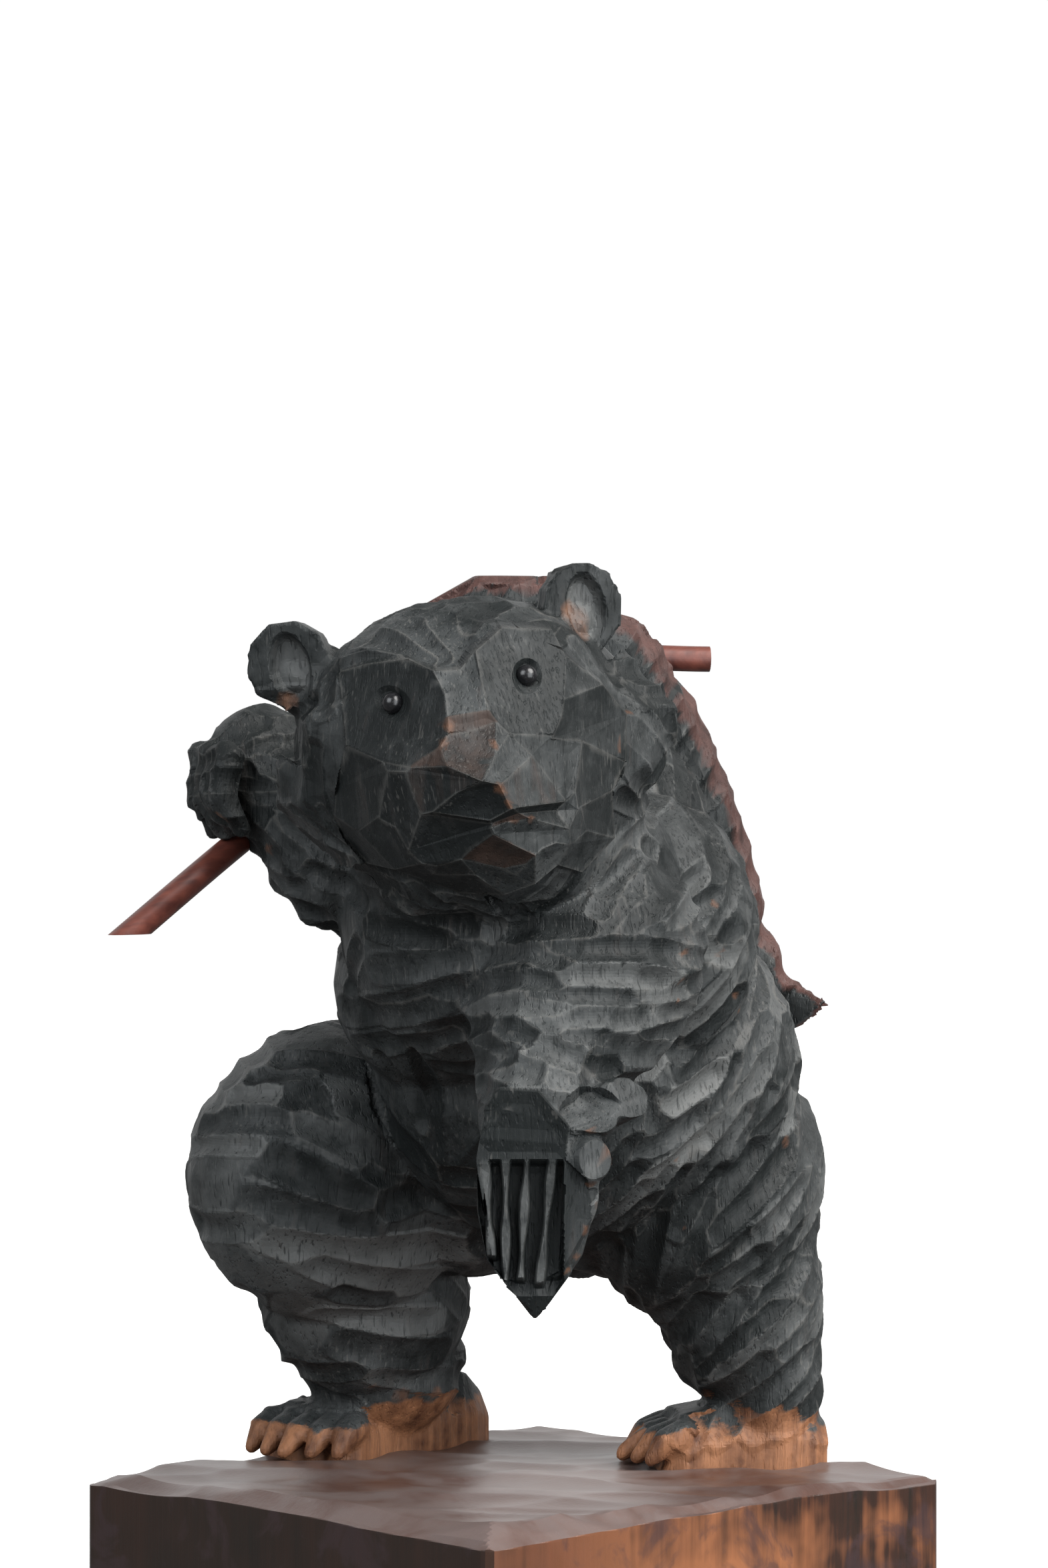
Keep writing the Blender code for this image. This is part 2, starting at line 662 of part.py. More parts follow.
def make_plinth():
    bm = bmesh.new()
    bmesh.ops.create_cube(bm, size=1)
    half = Vector((PLINTH_WIDTH / 2, PLINTH_DEPTH / 2, PLINTH_HEIGHT))
    for vert in bm.verts:
        vert.co = Vector((vert.co.x * PLINTH_WIDTH, vert.co.y * PLINTH_DEPTH, (vert.co.z + 0.5) * PLINTH_HEIGHT))
    chooser = random.Random(5)
    for x_side, y_side, size in ((-1, -1, 0.0025), (1, -1, 0.0012), (1, 1, 0.0025), (-1, 1, 0.003)):
        corner = Vector((x_side * half.x, y_side * half.y, 0))
        normal = Vector((x_side, y_side * chooser.uniform(0.8, 1.2), 0)).normalized()
        cut_corner(bm, corner - normal * size, normal)
    for side in ((0, -1), (1, 0), (0, 1), (-1, 0)):
        face = Vector((side[0], side[1], 0))
        run = Vector((-side[1], side[0], 0))
        reach = abs(run.x) * half.x + abs(run.y) * half.y
        edge = Vector((side[0] * half.x, side[1] * half.y, PLINTH_HEIGHT))
        for place in (-0.75, -0.3, 0.15, 0.6, 0.9):
            normal = (face * 0.5 + run * chooser.uniform(-0.10, 0.10) + Vector((0, 0, 1))).normalized()
            depth = chooser.uniform(0.0006, 0.0018) * (0.4 if side[0] + side[1] > 0 else 1)
            cut_corner(bm, edge + run * reach * place - normal * depth, normal)
    bmesh.ops.recalc_face_normals(bm, faces=bm.faces)
    return add_object("plinth_form", bm)


def tube(name, points, radius):
    """A round stick along a route, as a closed mesh."""
    curve = bpy.data.curves.new(name, "CURVE")
    curve.dimensions = "3D"
    curve.bevel_depth = radius
    curve.bevel_resolution = STICK_SIDES // 4
    curve.use_fill_caps = True
    spline = curve.splines.new("POLY")
    spline.points.add(len(points) - 1)
    for slot, point in zip(spline.points, points):
        slot.co = (*point, 1)
    guide = bpy.data.objects.new(name, curve)
    bpy.context.collection.objects.link(guide)
    bm = bmesh.new()
    bm.from_mesh(evaluated(guide))
    bpy.data.objects.remove(guide)
    bmesh.ops.remove_doubles(bm, verts=bm.verts, dist=1e-6)
    bmesh.ops.recalc_face_normals(bm, faces=bm.faces)
    return add_object(name, bm)


def cut_tip(stick):
    """The front end is sliced off level, which leaves a long slanting face."""
    bm = bmesh.new()
    bm.from_mesh(stick.data)
    geometry = bm.verts[:] + bm.edges[:] + bm.faces[:]
    level = in_block((0, 0, STICK_CUT_LEVEL))
    bmesh.ops.bisect_plane(bm, geom=geometry, plane_co=level, plane_no=(0, 0, -1), clear_outer=True)
    rim = [edge for edge in bm.edges if edge.is_boundary]
    bmesh.ops.contextual_create(bm, geom=rim)
    bmesh.ops.recalc_face_normals(bm, faces=bm.faces)
    bm.to_mesh(stick.data)
    bm.free()


def smooth_route(points, steps):
    """A smooth curve through every point of a route."""
    route = []
    padded = [points[0] * 2 - points[1]] + points + [points[-1] * 2 - points[-2]]
    for p0, p1, p2, p3 in zip(padded, padded[1:], padded[2:], padded[3:]):
        for step in range(steps):
            t = step / steps
            bend = 2 * p1 + (p2 - p0) * t + (2 * p0 - 5 * p1 + 4 * p2 - p3) * t * t
            route.append((bend + (3 * p1 - p0 - 3 * p2 + p3) * t ** 3) / 2)
    route.append(points[-1])
    return route


def in_block(point):
    """A point of the figure as it stands on the plinth, in metres."""
    place = (Vector(point) + FIGURE_PLACE) * UNIT
    return place + Vector((0, 0, PLINTH_HEIGHT))


def make_stick():
    points = [in_block(point) for point in STICK_ROUTE]
    return smooth_route(points, STICK_STEPS)


def boolean(thing, other, operation):
    change = thing.modifiers.new(operation.lower(), "BOOLEAN")
    change.operation = operation
    change.solver = "EXACT"
    change.object = other
    return change


def as_cutter(thing):
    thing.hide_render = True
    thing.display_type = "WIRE"


def ball_object(name, centre, radius, across, rings):
    bm = bmesh.new()
    bmesh.ops.create_uvsphere(bm, u_segments=across, v_segments=rings, radius=radius)
    bmesh.ops.translate(bm, verts=bm.verts, vec=centre)
    return add_object(name, bm)


def make_eye(name, place):
    eye = ball_object(name, place, EYE_DIAMETER / 2, 14, 9)
    eye.data.shade_smooth()
    add_material(eye, "black glass", (0.005, 0.005, 0.006), 0.08)
    return eye


def main():
    clear_scene()
    bear = carve_figure()
    bear.name = "bear"
    plinth = make_plinth()
    as_cutter(plinth)
    boolean(bear, plinth, "UNION")
    route = make_stick()
    channel = tube("channel", route, STICK_DIAMETER / 2 + CLEARANCE)
    as_cutter(channel)
    boolean(bear, channel, "DIFFERENCE")
    for name, spot in (("left_eye", LEFT_EYE_PLACE), ("right_eye", RIGHT_EYE_PLACE)):
        place = in_block(head_point(*spot))
        make_eye(name, place)
        socket = ball_object(name + "_socket", place, EYE_DIAMETER / 2 + CLEARANCE, 14, 9)
        as_cutter(socket)
        boolean(bear, socket, "DIFFERENCE")
    add_material(bear, "charred wood", (0.035, 0.034, 0.035), 0.7)
    stick = tube("carrying_stick", route, STICK_DIAMETER / 2)
    cut_tip(stick)
    stick.data.shade_smooth()
    stick.data.set_sharp_from_angle(angle=math.radians(40))
    add_material(stick, "red stick", (0.09, 0.022, 0.018), 0.55)


main()
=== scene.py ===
# A carved wooden bear, dressed for its picture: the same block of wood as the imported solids,
# cut again at a finer grain, with its charring, worn ridges, stick, glass eyes and plinth.

import math
import random

import bmesh
import bpy
import numpy as np
from mathutils import Matrix, Vector
from mathutils.bvhtree import BVHTree
from mathutils.geometry import tessellate_polygon
from mathutils.kdtree import KDTree


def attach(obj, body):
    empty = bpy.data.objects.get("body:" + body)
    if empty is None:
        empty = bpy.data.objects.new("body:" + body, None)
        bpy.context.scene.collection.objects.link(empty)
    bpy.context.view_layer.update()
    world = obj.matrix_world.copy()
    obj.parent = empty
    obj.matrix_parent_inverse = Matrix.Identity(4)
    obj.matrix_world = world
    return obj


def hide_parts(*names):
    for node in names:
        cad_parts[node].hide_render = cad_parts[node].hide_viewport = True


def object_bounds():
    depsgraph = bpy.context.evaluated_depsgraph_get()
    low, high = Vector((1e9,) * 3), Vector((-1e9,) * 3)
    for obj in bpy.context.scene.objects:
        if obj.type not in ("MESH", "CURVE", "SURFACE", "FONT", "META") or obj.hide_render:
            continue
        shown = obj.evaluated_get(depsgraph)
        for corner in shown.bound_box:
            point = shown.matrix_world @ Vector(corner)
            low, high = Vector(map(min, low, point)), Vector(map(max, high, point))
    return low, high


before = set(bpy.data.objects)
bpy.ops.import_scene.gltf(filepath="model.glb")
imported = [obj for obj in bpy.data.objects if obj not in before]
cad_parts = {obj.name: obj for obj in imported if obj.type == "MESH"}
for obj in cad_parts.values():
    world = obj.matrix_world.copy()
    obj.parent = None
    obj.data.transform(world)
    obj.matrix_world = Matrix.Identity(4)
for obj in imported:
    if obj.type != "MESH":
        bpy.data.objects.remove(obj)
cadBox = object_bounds()
print("frame loaded", len(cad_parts), "nodes")

# The block is laid out in millimetres from the middle of the plinth's top
block = {
    "plinthWidth": 131,
    "plinthDepth": 138,
    "plinthHeight": 38,
    "figurePlace": (-2, 5, 0),
    "metre": 0.001,
}


def inMetres(places):
    # from the figure's own millimetres to the row's metres
    shift = np.array(block["figurePlace"]) + np.array((0, 0, block["plinthHeight"]))
    return (np.asarray(places, dtype=float) + shift) * block["metre"]


# Picking, modifiers, joining and copying

def pickNone():
    if bpy.context.mode != "OBJECT":
        bpy.ops.object.mode_set(mode="OBJECT")
    bpy.ops.object.select_all(action="DESELECT")


def pickOnly(*pieces):
    pickNone()
    for piece in pieces:
        piece.select_set(True)
    bpy.context.view_layer.objects.active = pieces[0]


def applyModifiers(piece):
    pickOnly(piece)
    for modifier in list(piece.modifiers):
        bpy.ops.object.modifier_apply(modifier=modifier.name)


def joinPieces(pieces, name):
    pickOnly(*pieces)
    bpy.ops.object.join()
    joined = bpy.context.object
    bpy.ops.object.transform_apply(location=True, rotation=True, scale=True)
    joined.name = name
    return joined


def copyOf(piece, name):
    twin = piece.copy()
    twin.data = piece.data.copy()
    twin.name = name
    bpy.context.scene.collection.objects.link(twin)
    return twin


def meshArrays(piece):
    mesh = piece.data
    places = np.empty(len(mesh.vertices) * 3)
    normals = np.empty(len(mesh.vertices) * 3)
    mesh.vertices.foreach_get("co", places)
    mesh.vertices.foreach_get("normal", normals)
    return places.reshape(-1, 3), normals.reshape(-1, 3)


def setPlaces(piece, places):
    piece.data.vertices.foreach_set("co", np.asarray(places, dtype=np.float32).ravel())
    piece.data.update()


# The masses: balls and hulls, which are grown together into one skin

def addBall(centre, radii, turn=None):
    bpy.ops.mesh.primitive_ico_sphere_add(subdivisions=3, radius=1, location=centre, scale=radii)
    ball = bpy.context.object
    if turn is not None:
        ball.rotation_euler = turn.to_euler()
    return ball


def addHull(points):
    mesh = bpy.data.meshes.new("hull")
    mesh.from_pydata([tuple(point) for point in points], [], [])
    hull = bpy.data.objects.new("hull", mesh)
    bpy.context.scene.collection.objects.link(hull)
    pickOnly(hull)
    bpy.ops.object.mode_set(mode="EDIT")
    bpy.ops.mesh.select_all(action="SELECT")
    bpy.ops.mesh.convex_hull()
    bpy.ops.object.mode_set(mode="OBJECT")
    return hull


def ballPoints(centre, radius):
    bm = bmesh.new()
    bmesh.ops.create_icosphere(bm, subdivisions=2, radius=radius)
    points = [vert.co + Vector(centre) for vert in bm.verts]
    bm.free()
    return points


def addLimb(joints):
    # a tapering limb through balls given as (centre, radius)
    pieces = []
    for (start, first), (end, last) in zip(joints, joints[1:]):
        pieces.append(addHull(ballPoints(start, first) + ballPoints(end, last)))
    return pieces


torso = {
    "balls": [
        ((-4, 27, 72), (37, 37, 33)),
        ((8, 4, 91), (40, 44, 43)),
        ((25, -27, 122), (38, 37, 37)),
        ((-6, 40, 78), (31, 29, 31)),
        ((20, 22, 88), (29, 34, 35)),
        ((34, 2, 118), (24, 28, 31)),
        ((8, 10, 138), (30, 28, 30)),
        ((34, -40, 143), (33, 32, 30)),
        ((6, 8, 60), (20, 20, 14)),
        ((8, -22, 107), (31, 31, 27)),
    ],
}

paw = {
    "place": (65, -58, 0),
    "face": (0.724, -0.69, 0),
    "side": (0.69, 0.724, 0),
    # corners: how far out, how far across and how high
    "corners": [
        (-10, -9, 88), (-10, 9, 88), (1, -9.5, 90), (1, 6, 90), (9, -12.6, 75), (9, 5.6, 75), (4, 12, 76),
        (9, -12.6, 64), (9, 5.6, 62), (4.5, 12.2, 66), (7, -10.5, 53.5), (7.5, 2.5, 50), (3, 9, 54),
        (-8, -9, 53), (-8, 9, 53), (3, -0.6, 40.5),
    ],
    # each claw: how far across at its root and at its tip, and how high the tip is
    "claws": [(-10.8, -9.4, 53), (-6.6, -6.6, 48), (-2.3, -3.6, 48.5), (2.9, 0.2, 47.5)],
    # round pads at the wrist: where they are and how large
    "pads": [
        ((-2, 16.4, 85), (6.2, 6, 5)),
        ((3.2, 10.6, 81.4), (6, 5.6, 3)),
        ((4.8, 10, 73.6), (5.2, 4.8, 5)),
    ],
    "padFaces": [(0.888, -0.156, 0.35), (0.576, -0.411, 0.7), (0.926, -0.26, 0.1)],
    "padLevel": 0.62,
    # the front of the paw, as pixels across and down the photograph and how far out
    "seenCorners": {
        "wristLeft": (722, 1650, 10.5), "wristTopLeft": (748, 1631, 10.5), "wristTop": (805, 1634, 10.5),
        "wristRight": (850, 1686, 9.5), "hollowLeft": (712, 1704, 8.9), "hollowRight": (846, 1712, 8.7),
        "rootLeft": (713, 1742, 8.5), "rootRight": (845, 1737, 8.5), "tipLeft": (742, 1912, 7.4),
        "tipMiddle": (803, 1925, 7.8), "tipRight": (838, 1905, 7.4), "sideTop": (877, 1765, 6.4),
        "sideMiddle": (884, 1825, 5.2), "sideFoot": (852, 1893, 5.2), "point": (802, 1966, 3.5),
        "pointRight": (862, 1936, 2.8),
    },
    "facets": {
        "brow": "wristLeft wristTopLeft wristTop wristRight hollowRight hollowLeft",
        "hollow": "hollowLeft hollowRight rootRight rootLeft",
        "clawBed": "rootLeft rootRight tipRight tipMiddle tipLeft",
        "outerSide": "rootRight sideTop sideMiddle sideFoot tipRight",
        "wedge": "tipLeft tipMiddle tipRight sideFoot pointRight point",
    },
    "clawRoot": 74,
    "clawFoot": 46,
    "clawHalf": 0.78,
    "clawWave": 0.3,
    "clawWall": 0.55,
    "clawDepth": 2.9,
    "clawGround": (-13.5, 5.2),
    # where smaller faces are made, and where the flat cuts reach
    "fineHalf": 17,
    "fineLevels": (38, 92),
    "reachBox": ((-16, 1, 38), (16, 20, 92)),
}


def pawPoint(out, across, level):
    flat = Vector(paw["place"]) + Vector(paw["face"]) * out + Vector(paw["side"]) * across
    return flat + Vector((0, 0, level))


def makeTorso():
    return [addBall(centre, radii) for centre, radii in torso["balls"]]


arms = {
    # each limb's balls: centre and radius
    "leftUpper": [((50, -27, 114), 25), ((53, -38, 103), 22), ((57, -48, 94), 16)],
    "leftLower": [((58, -50, 92), 14), ((63, -56, 80), 12.5)],
    "right": [((-2, -26, 134), 24), ((-4, -47, 134), 18), ((-20, -54, 149), 13)],
    "fist": ((-24, -54.5, 154), (12.3, 14, 13.4)),
    "fingers": 4,
    "fingerBase": (-31, -66, 156),
    "fingerStep": (4.5, -1.5, 0),
    # along a finger: how far from its base, and radius
    "finger": [((0, 0, 0), 3.6), ((1, -2.5, -9), 3.2), ((2, 2, -16), 2.2)],
}


def makeLeftArm():
    pieces = addLimb(arms["leftUpper"]) + addLimb(arms["leftLower"])
    pieces += [addBall(pawPoint(*place), radii) for place, radii in paw["pads"]]
    return pieces + [addHull([pawPoint(*corner) for corner in paw["corners"]])]


def makeRightArm():
    pieces = addLimb(arms["right"])
    pieces.append(addBall(*arms["fist"]))
    for number in range(arms["fingers"]):
        base = Vector(arms["fingerBase"]) + Vector(arms["fingerStep"]) * number
        pieces += addLimb([(base + Vector(shift), radius) for shift, radius in arms["finger"]])
    return pieces


foot = {
    "soleDepth": 3,
    # rows of the sole: how far behind the heel, share of the width and rise
    "heelRows": [(11, 0.4, 8), (8, 0.72, 10), (0, 0.9, 15)],
    "toeRow": (1, 11),
    "rimShare": 0.72,
    "rimRise": 0.4,
    "noseShare": 0.8,
    "noseReach": 5,
    "toes": 5,
    "toeSpread": 0.84,
    "toeReach": 12,
    "toeFall": 2.2,
    "longestToe": 1.8,
    # height of a toe at its start, its knuckle and its tip, and the radius there
    "toeRises": (6.5, 1.4, 1.2),
    "toeRadii": (3.6, 3.2, 1.6),
}


def makeFoot(heel, toe, wide):
    ahead = (toe - heel).normalized()
    side = Vector((-ahead.y, ahead.x, 0))
    deep = Vector((0, 0, -foot["soleDepth"]))
    rows = [(heel - ahead * back, share, rise) for back, share, rise in foot["heelRows"]]
    rows.append((toe, *foot["toeRow"]))
    sole = []
    for place, share, rise in rows:
        for across in (-wide * share, wide * share):
            sole.append(place + side * across + deep)
            sole.append(place + side * across + Vector((0, 0, rise * foot["rimRise"])))
            sole.append(place + side * across * foot["rimShare"] + Vector((0, 0, rise)))
    for across in (-wide * foot["noseShare"], wide * foot["noseShare"]):
        sole.append(toe + ahead * foot["noseReach"] + side * across + deep)
    pieces = [addHull(sole)]
    startRise, knuckleRise, tipRise = foot["toeRises"]
    for number in range(foot["toes"]):
        across = side * wide * (2 * number / (foot["toes"] - 1) - 1) * foot["toeSpread"]
        reach = foot["toeReach"] - foot["toeFall"] * abs(number - foot["longestToe"])
        start = toe + across + Vector((0, 0, startRise))
        tip = toe + ahead * reach + across * 1.05 + Vector((0, 0, tipRise))
        knuckle = (start + tip) / 2 + Vector((0, 0, knuckleRise))
        pieces += addLimb(list(zip((start, knuckle, tip), foot["toeRadii"])))
    return pieces


rightLeg = {
    "balls": [
        ((-36, -23, 64), (28, 37, 34)),
        ((-20, 4, 70), (26, 32, 30)),
        ((-42, -9, 36), (20, 27, 24)),
        ((-46, 0, 20), (16, 21, 18)),
    ],
    "heel": (-57, 26, 0),
    "toe": (-49, -18, 0),
    "wide": 13.5,
}

leftLeg = {
    "balls": [
        ((19, 36, 62), (26, 30, 34)),
        ((24, 44, 36), (18, 20, 26)),
        ((26, 49, 18), (14, 14, 20)),
    ],
    "heel": (27.5, 51, 0),
    "toe": (14.5, 32, 0),
    "wide": 12.5,
}


def makeLeg(leg):
    pieces = [addBall(centre, radii) for centre, radii in leg["balls"]]
    return pieces + makeFoot(Vector(leg["heel"]), Vector(leg["toe"]), leg["wide"])


# Middle line of the salmon with its half height and half thickness, from snout to tail fork
salmon = {
    "rings": [
        ((-16, -14, 184), 6, 5),
        ((-10, -6, 186.5), 11, 8),
        ((-5, 7, 184), 16, 12),
        ((2, 18, 174), 19, 14),
        ((7, 26, 160), 18, 13),
        ((10, 34, 143), 17, 12),
        ((13, 43, 127), 14, 10),
        ((18, 50, 113), 8, 7),
        ((23, 55, 103), 7, 5),
        ((28, 57, 95), 13, 4),
    ],
    "outward": (-0.35, 0.62, 0.62),
    "margin": 3.5,
    "gills": [(2.35, 1.2, 1.1), (2.0, 0.9, 0.6)],
    "sides": 16,
    # the wood between the salmon and the back: how deep, how thick, and from which ring to which
    "saddleDepth": 8,
    "saddleShare": 0.75,
    "saddleLeast": 6,
    "saddleRings": (2, 9),
}


def salmonFrames():
    places = [Vector(place) for place, high, thick in salmon["rings"]]
    frames = []
    for number, (place, high, thick) in enumerate(salmon["rings"]):
        before = places[max(number - 1, 0)]
        after = places[min(number + 1, len(places) - 1)]
        along = (after - before).normalized()
        outward = Vector(salmon["outward"])
        outward = (outward - outward.dot(along) * along).normalized()
        frames.append((Vector(place), along, outward, along.cross(outward), high, thick))
    return frames


def makeSalmon():
    rings = []
    for place, _, outward, across, high, thick in salmonFrames():
        ring = []
        for step in range(salmon["sides"]):
            angle = 2 * math.pi * step / salmon["sides"]
            ring.append(place + across * high * math.cos(angle) + outward * thick * math.sin(angle))
        rings.append(ring)
    pieces = [addHull(ring + following) for ring, following in zip(rings, rings[1:])]
    saddle = []
    for place, _, outward, _, high, _ in salmonFrames():
        radius = max(high * salmon["saddleShare"], salmon["saddleLeast"])
        saddle.append((place - outward * salmon["saddleDepth"], radius))
    first, last = salmon["saddleRings"]
    return pieces + addLimb(saddle[first:last])


# The head has its own axes, left, forward and up, in columns
head = {
    # the two balls behind the face: place and radii
    "balls": [((2, -6, 2.5), (30, 28, 20.5)), ((4, -16, -8), (37, 22, 27))],
    # middle and reach of the part that has the head's own strokes
    "strokeMiddle": (3, 4, -2),
    "strokeReach": (41, 46, 31),
    "eyeDepth": 1.6,
    "place": (44.5, -63.4, 164),
    "turn": 53.9,
    "dip": 10,
    "roll": 11.5,
    "eyes": ((14.7, 23.4, 9.4), (-12.7, 20.6, 8.7)),
    "eyeHollow": 3.3,
    "ears": ((31.4, -11, 15.2), (-29.6, -11, 15)),
    "earRadius": 9.3,
    "earHollow": (4.2, 7.4),
    "earShifts": (1.4, -0.6),
    "earDepth": 2.6,
    "blocks": [
        # skull and eyes
        [(-3, 24, 14), (5, 24, 15.5), (-2.5, 36.5, 6.4), (5.5, 36.5, 5.8), (11.6, 19, 19),
         (23.3, 15, 11.4), (25, 14, 7), (21.6, 21, -1.3), (17.3, 26, -3.4), (6.4, 35, 4),
         (-9.5, 18, 16.6), (-20, 11, 11), (-20.5, 17, 1.8), (-12.3, 31, -3), (-14, 2, 20), (20, -4, 19),
         (2, 4, 24), (-28, -6, 0), (30, -6, 0)],
        # nose
        [(-3.7, 34, 2.9), (4.4, 34, 2.3), (-5, 47, -5.3), (0.6, 47.5, -5.9), (-9, 39, -2.8),
         (7.5, 32, 0), (3.4, 46, -7.6), (-6, 45.5, -11.5), (2, 46, -12.5), (7, 30, -12), (-8, 30, -12)],
        # upper lip
        [(10.7, 31, -0.2), (11.6, 36, -4.7), (16.9, 33, -13.2), (5.4, 45, -12.9), (3.9, 45.6, -7.3),
         (-12.3, 33, -4), (-13.3, 36, -12.3), (-6, 43, -13.2), (18, 16, -13), (-18, 16, -12),
         (17, 20, -3), (-16, 20, -3)],
        # jaw
        [(16, 30, -16.6), (17.5, 27, -24.8), (8.3, 37, -24.7), (0.7, 40, -19), (-1.5, 41.5, -15.9),
         (5, 41.5, -15.9), (-12.5, 34, -15), (-7.5, 33, -23.2), (4.3, 35, -28), (-2.9, 29, -31.5),
         (18, 12, -18), (-18, 12, -18), (14, 12, -32), (-12, 12, -33), (12, 20, -12), (-12, 20, -12)],
        # left cheek, ruff and throat
        [(21.6, 21, -1.3), (17.3, 26, -3.4), (17, 30, -12), (29.3, 14, -19.2), (35.6, 8, -17.8),
         (35.8, 4, -7), (25, 14, 7), (23, 15, 11), (17.5, 26, -23.5), (34, -12, 8), (40, -16, -8),
         (34, -14, -24), (8, -10, -18)],
        [(35.8, 4, -7), (48, -8, -7.6), (46.4, -8, -17), (35.7, 0, -26.9), (35.6, 8, -17.8),
         (29.3, 13, -19.2), (44, -22, -8), (36, -24, -24), (20, -12, -20), (39, -12, 5), (28, 2, 0)],
        [(29.3, 13, -19.2), (35.7, 0, -26.9), (21.6, 4, -43), (9.3, 9, -43), (17.5, 25, -25),
         (4.3, 32, -28.5), (-2.9, 27, -31.5), (8, -14, -34), (30, -16, -26), (12, 4, -16)],
        # right cheek, ruff and throat
        [(-20.5, 17, 1.8), (-12.3, 31, -3), (-26.5, 12, -8.2), (-17.8, 22, -0.7), (-22.6, 14, -16.2),
         (-13.1, 33, -12), (-20, 11, 11), (-31, 1, 5), (-33, -2, -10), (-30, -16, 6), (-32, -18, -14),
         (0, -8, -18), (-14.1, 24, -19.8)],
        [(-26.5, 11, -8.2), (-22.6, 14, -16.2), (-35.5, -3, -12), (-36, -10, -2), (-27, 4, -27),
         (-31, -14, -24), (-14.1, 23, -19.8), (-16, -12, -20), (-38, -14, -14)],
        [(-22.6, 13, -16.2), (-18.3, 7, -32.9), (-17, 3, -39.1), (-14.1, 23, -19.8), (-7.5, 30, -23),
         (-3, 27, -31), (0, -14, -36), (2, 7, -43), (-28, -8, -26), (-8, 2, -14)],
    ],
}


def headAxes():
    turn, dip, roll = (math.radians(head[angle]) for angle in ("turn", "dip", "roll"))
    heading = Vector((math.sin(turn), -math.cos(turn), 0))
    forward = heading * math.cos(dip) - Vector((0, 0, 1)) * math.sin(dip)
    left = Vector((math.cos(turn), math.sin(turn), 0))
    up = forward.cross(left)
    rolledLeft = left * math.cos(roll) + up * math.sin(roll)
    rolledUp = up * math.cos(roll) - left * math.sin(roll)
    return Matrix((rolledLeft, forward, rolledUp)).transposed()


def headPoint(left, forward, up):
    return Vector(head["place"]) + headAxes() @ Vector((left, forward, up))


def onHeadAxes(places):
    return (places - np.array(head["place"])) @ np.array(headAxes())


def makeHead():
    axes = headAxes()
    pieces = [addBall(headPoint(*place), radii, axes) for place, radii in head["balls"]]
    for corners in head["blocks"]:
        pieces.append(addHull([headPoint(*corner) for corner in corners]))
    for place in head["ears"]:
        pieces += makeEar(place)
    return pieces


def earFacing(place):
    return (headAxes() @ Vector((math.copysign(0.35, place[0]), 1, 0.1))).normalized()


ear = {
    "sides": 10,
    "tall": 1.05,
    "front": 2.5,
    "back": 6,
    "backShare": 0.86,
    # the root's share of the ear's distance to the side, then how far forward and up
    "root": (0.75, -12, 8),
    "rootRadius": 9,
    "neck": 3,
    "neckRadius": 7,
}


def makeEar(place):
    middle = headPoint(*place)
    facing = earFacing(place)
    across = facing.cross(headAxes().col[2]).normalized()
    rise = across.cross(facing)
    rim = []
    for step in range(ear["sides"]):
        angle = 2 * math.pi * step / ear["sides"]
        spoke = across * math.cos(angle) + rise * math.sin(angle) * ear["tall"]
        spoke *= head["earRadius"]
        rim.append(middle + spoke + facing * ear["front"])
        rim.append(middle + spoke * ear["backShare"] - facing * ear["back"])
    share, forward, up = ear["root"]
    root = headPoint(place[0] * share, forward, up)
    neck = middle - rise * ear["neck"] - facing * ear["neck"]
    return [addHull(rim)] + addLimb([(root, ear["rootRadius"]), (neck, ear["neckRadius"])])


carving = {
    "grain": 0.6,  # size of the finest cut, in millimetres
    "layoutGrain": 2.4,  # the coarser skin on which the strokes are laid out
    "triangles": 190000,
}


def fuse(piece, grain, smoothing):
    grow = piece.modifiers.new("grow", "REMESH")
    grow.mode = "VOXEL"
    grow.voxel_size = grain
    soften = piece.modifiers.new("soften", "SMOOTH")
    soften.factor = 0.5
    soften.iterations = smoothing
    applyModifiers(piece)


def fusedFigure(body, headAndSalmon, grain, name):
    figure = copyOf(body, name)
    fuse(figure, grain, 4)
    figure = joinPieces([figure, copyOf(headAndSalmon, "masses")], name)
    fuse(figure, grain, 1)
    return figure


masses = makeTorso() + makeLeftArm() + makeRightArm() + makeLeg(rightLeg) + makeLeg(leftLeg)
bodyMasses = joinPieces(masses, "bodyMasses")
headMasses = joinPieces(makeSalmon() + makeHead(), "headMasses")
layoutSkin = fusedFigure(bodyMasses, headMasses, carving["layoutGrain"], "layoutSkin")
carvedBear = fusedFigure(bodyMasses, headMasses, carving["grain"], "carved_bear")
for spent in (bodyMasses, headMasses):
    bpy.data.objects.remove(spent)
print("masses fused", len(carvedBear.data.vertices), "points")


# What the photograph shows is placed along its sight lines

view = {
    # the camera in the figure's own millimetres, and the photograph's frame in pixels
    "place": (864.5, -823.9, 150),
    "look": (-0.724, 0.69, 0),
    "middle": (784, 1173),
    "focal": 8120,
}


def sightLine(x, y):
    look = Vector(view["look"])
    right = look.cross(Vector((0, 0, 1)))
    across = (x - view["middle"][0]) / view["focal"]
    down = (y - view["middle"][1]) / view["focal"]
    return (look + right * across - Vector((0, 0, 1)) * down).normalized()


def seenOnPlane(x, y, point, normal):
    line = sightLine(x, y)
    start = Vector(view["place"])
    return start + line * ((Vector(point) - start).dot(normal) / line.dot(normal))


def seenOnSkin(tree, x, y):
    return tree.ray_cast(Vector(view["place"]), sightLine(x, y))[:2]


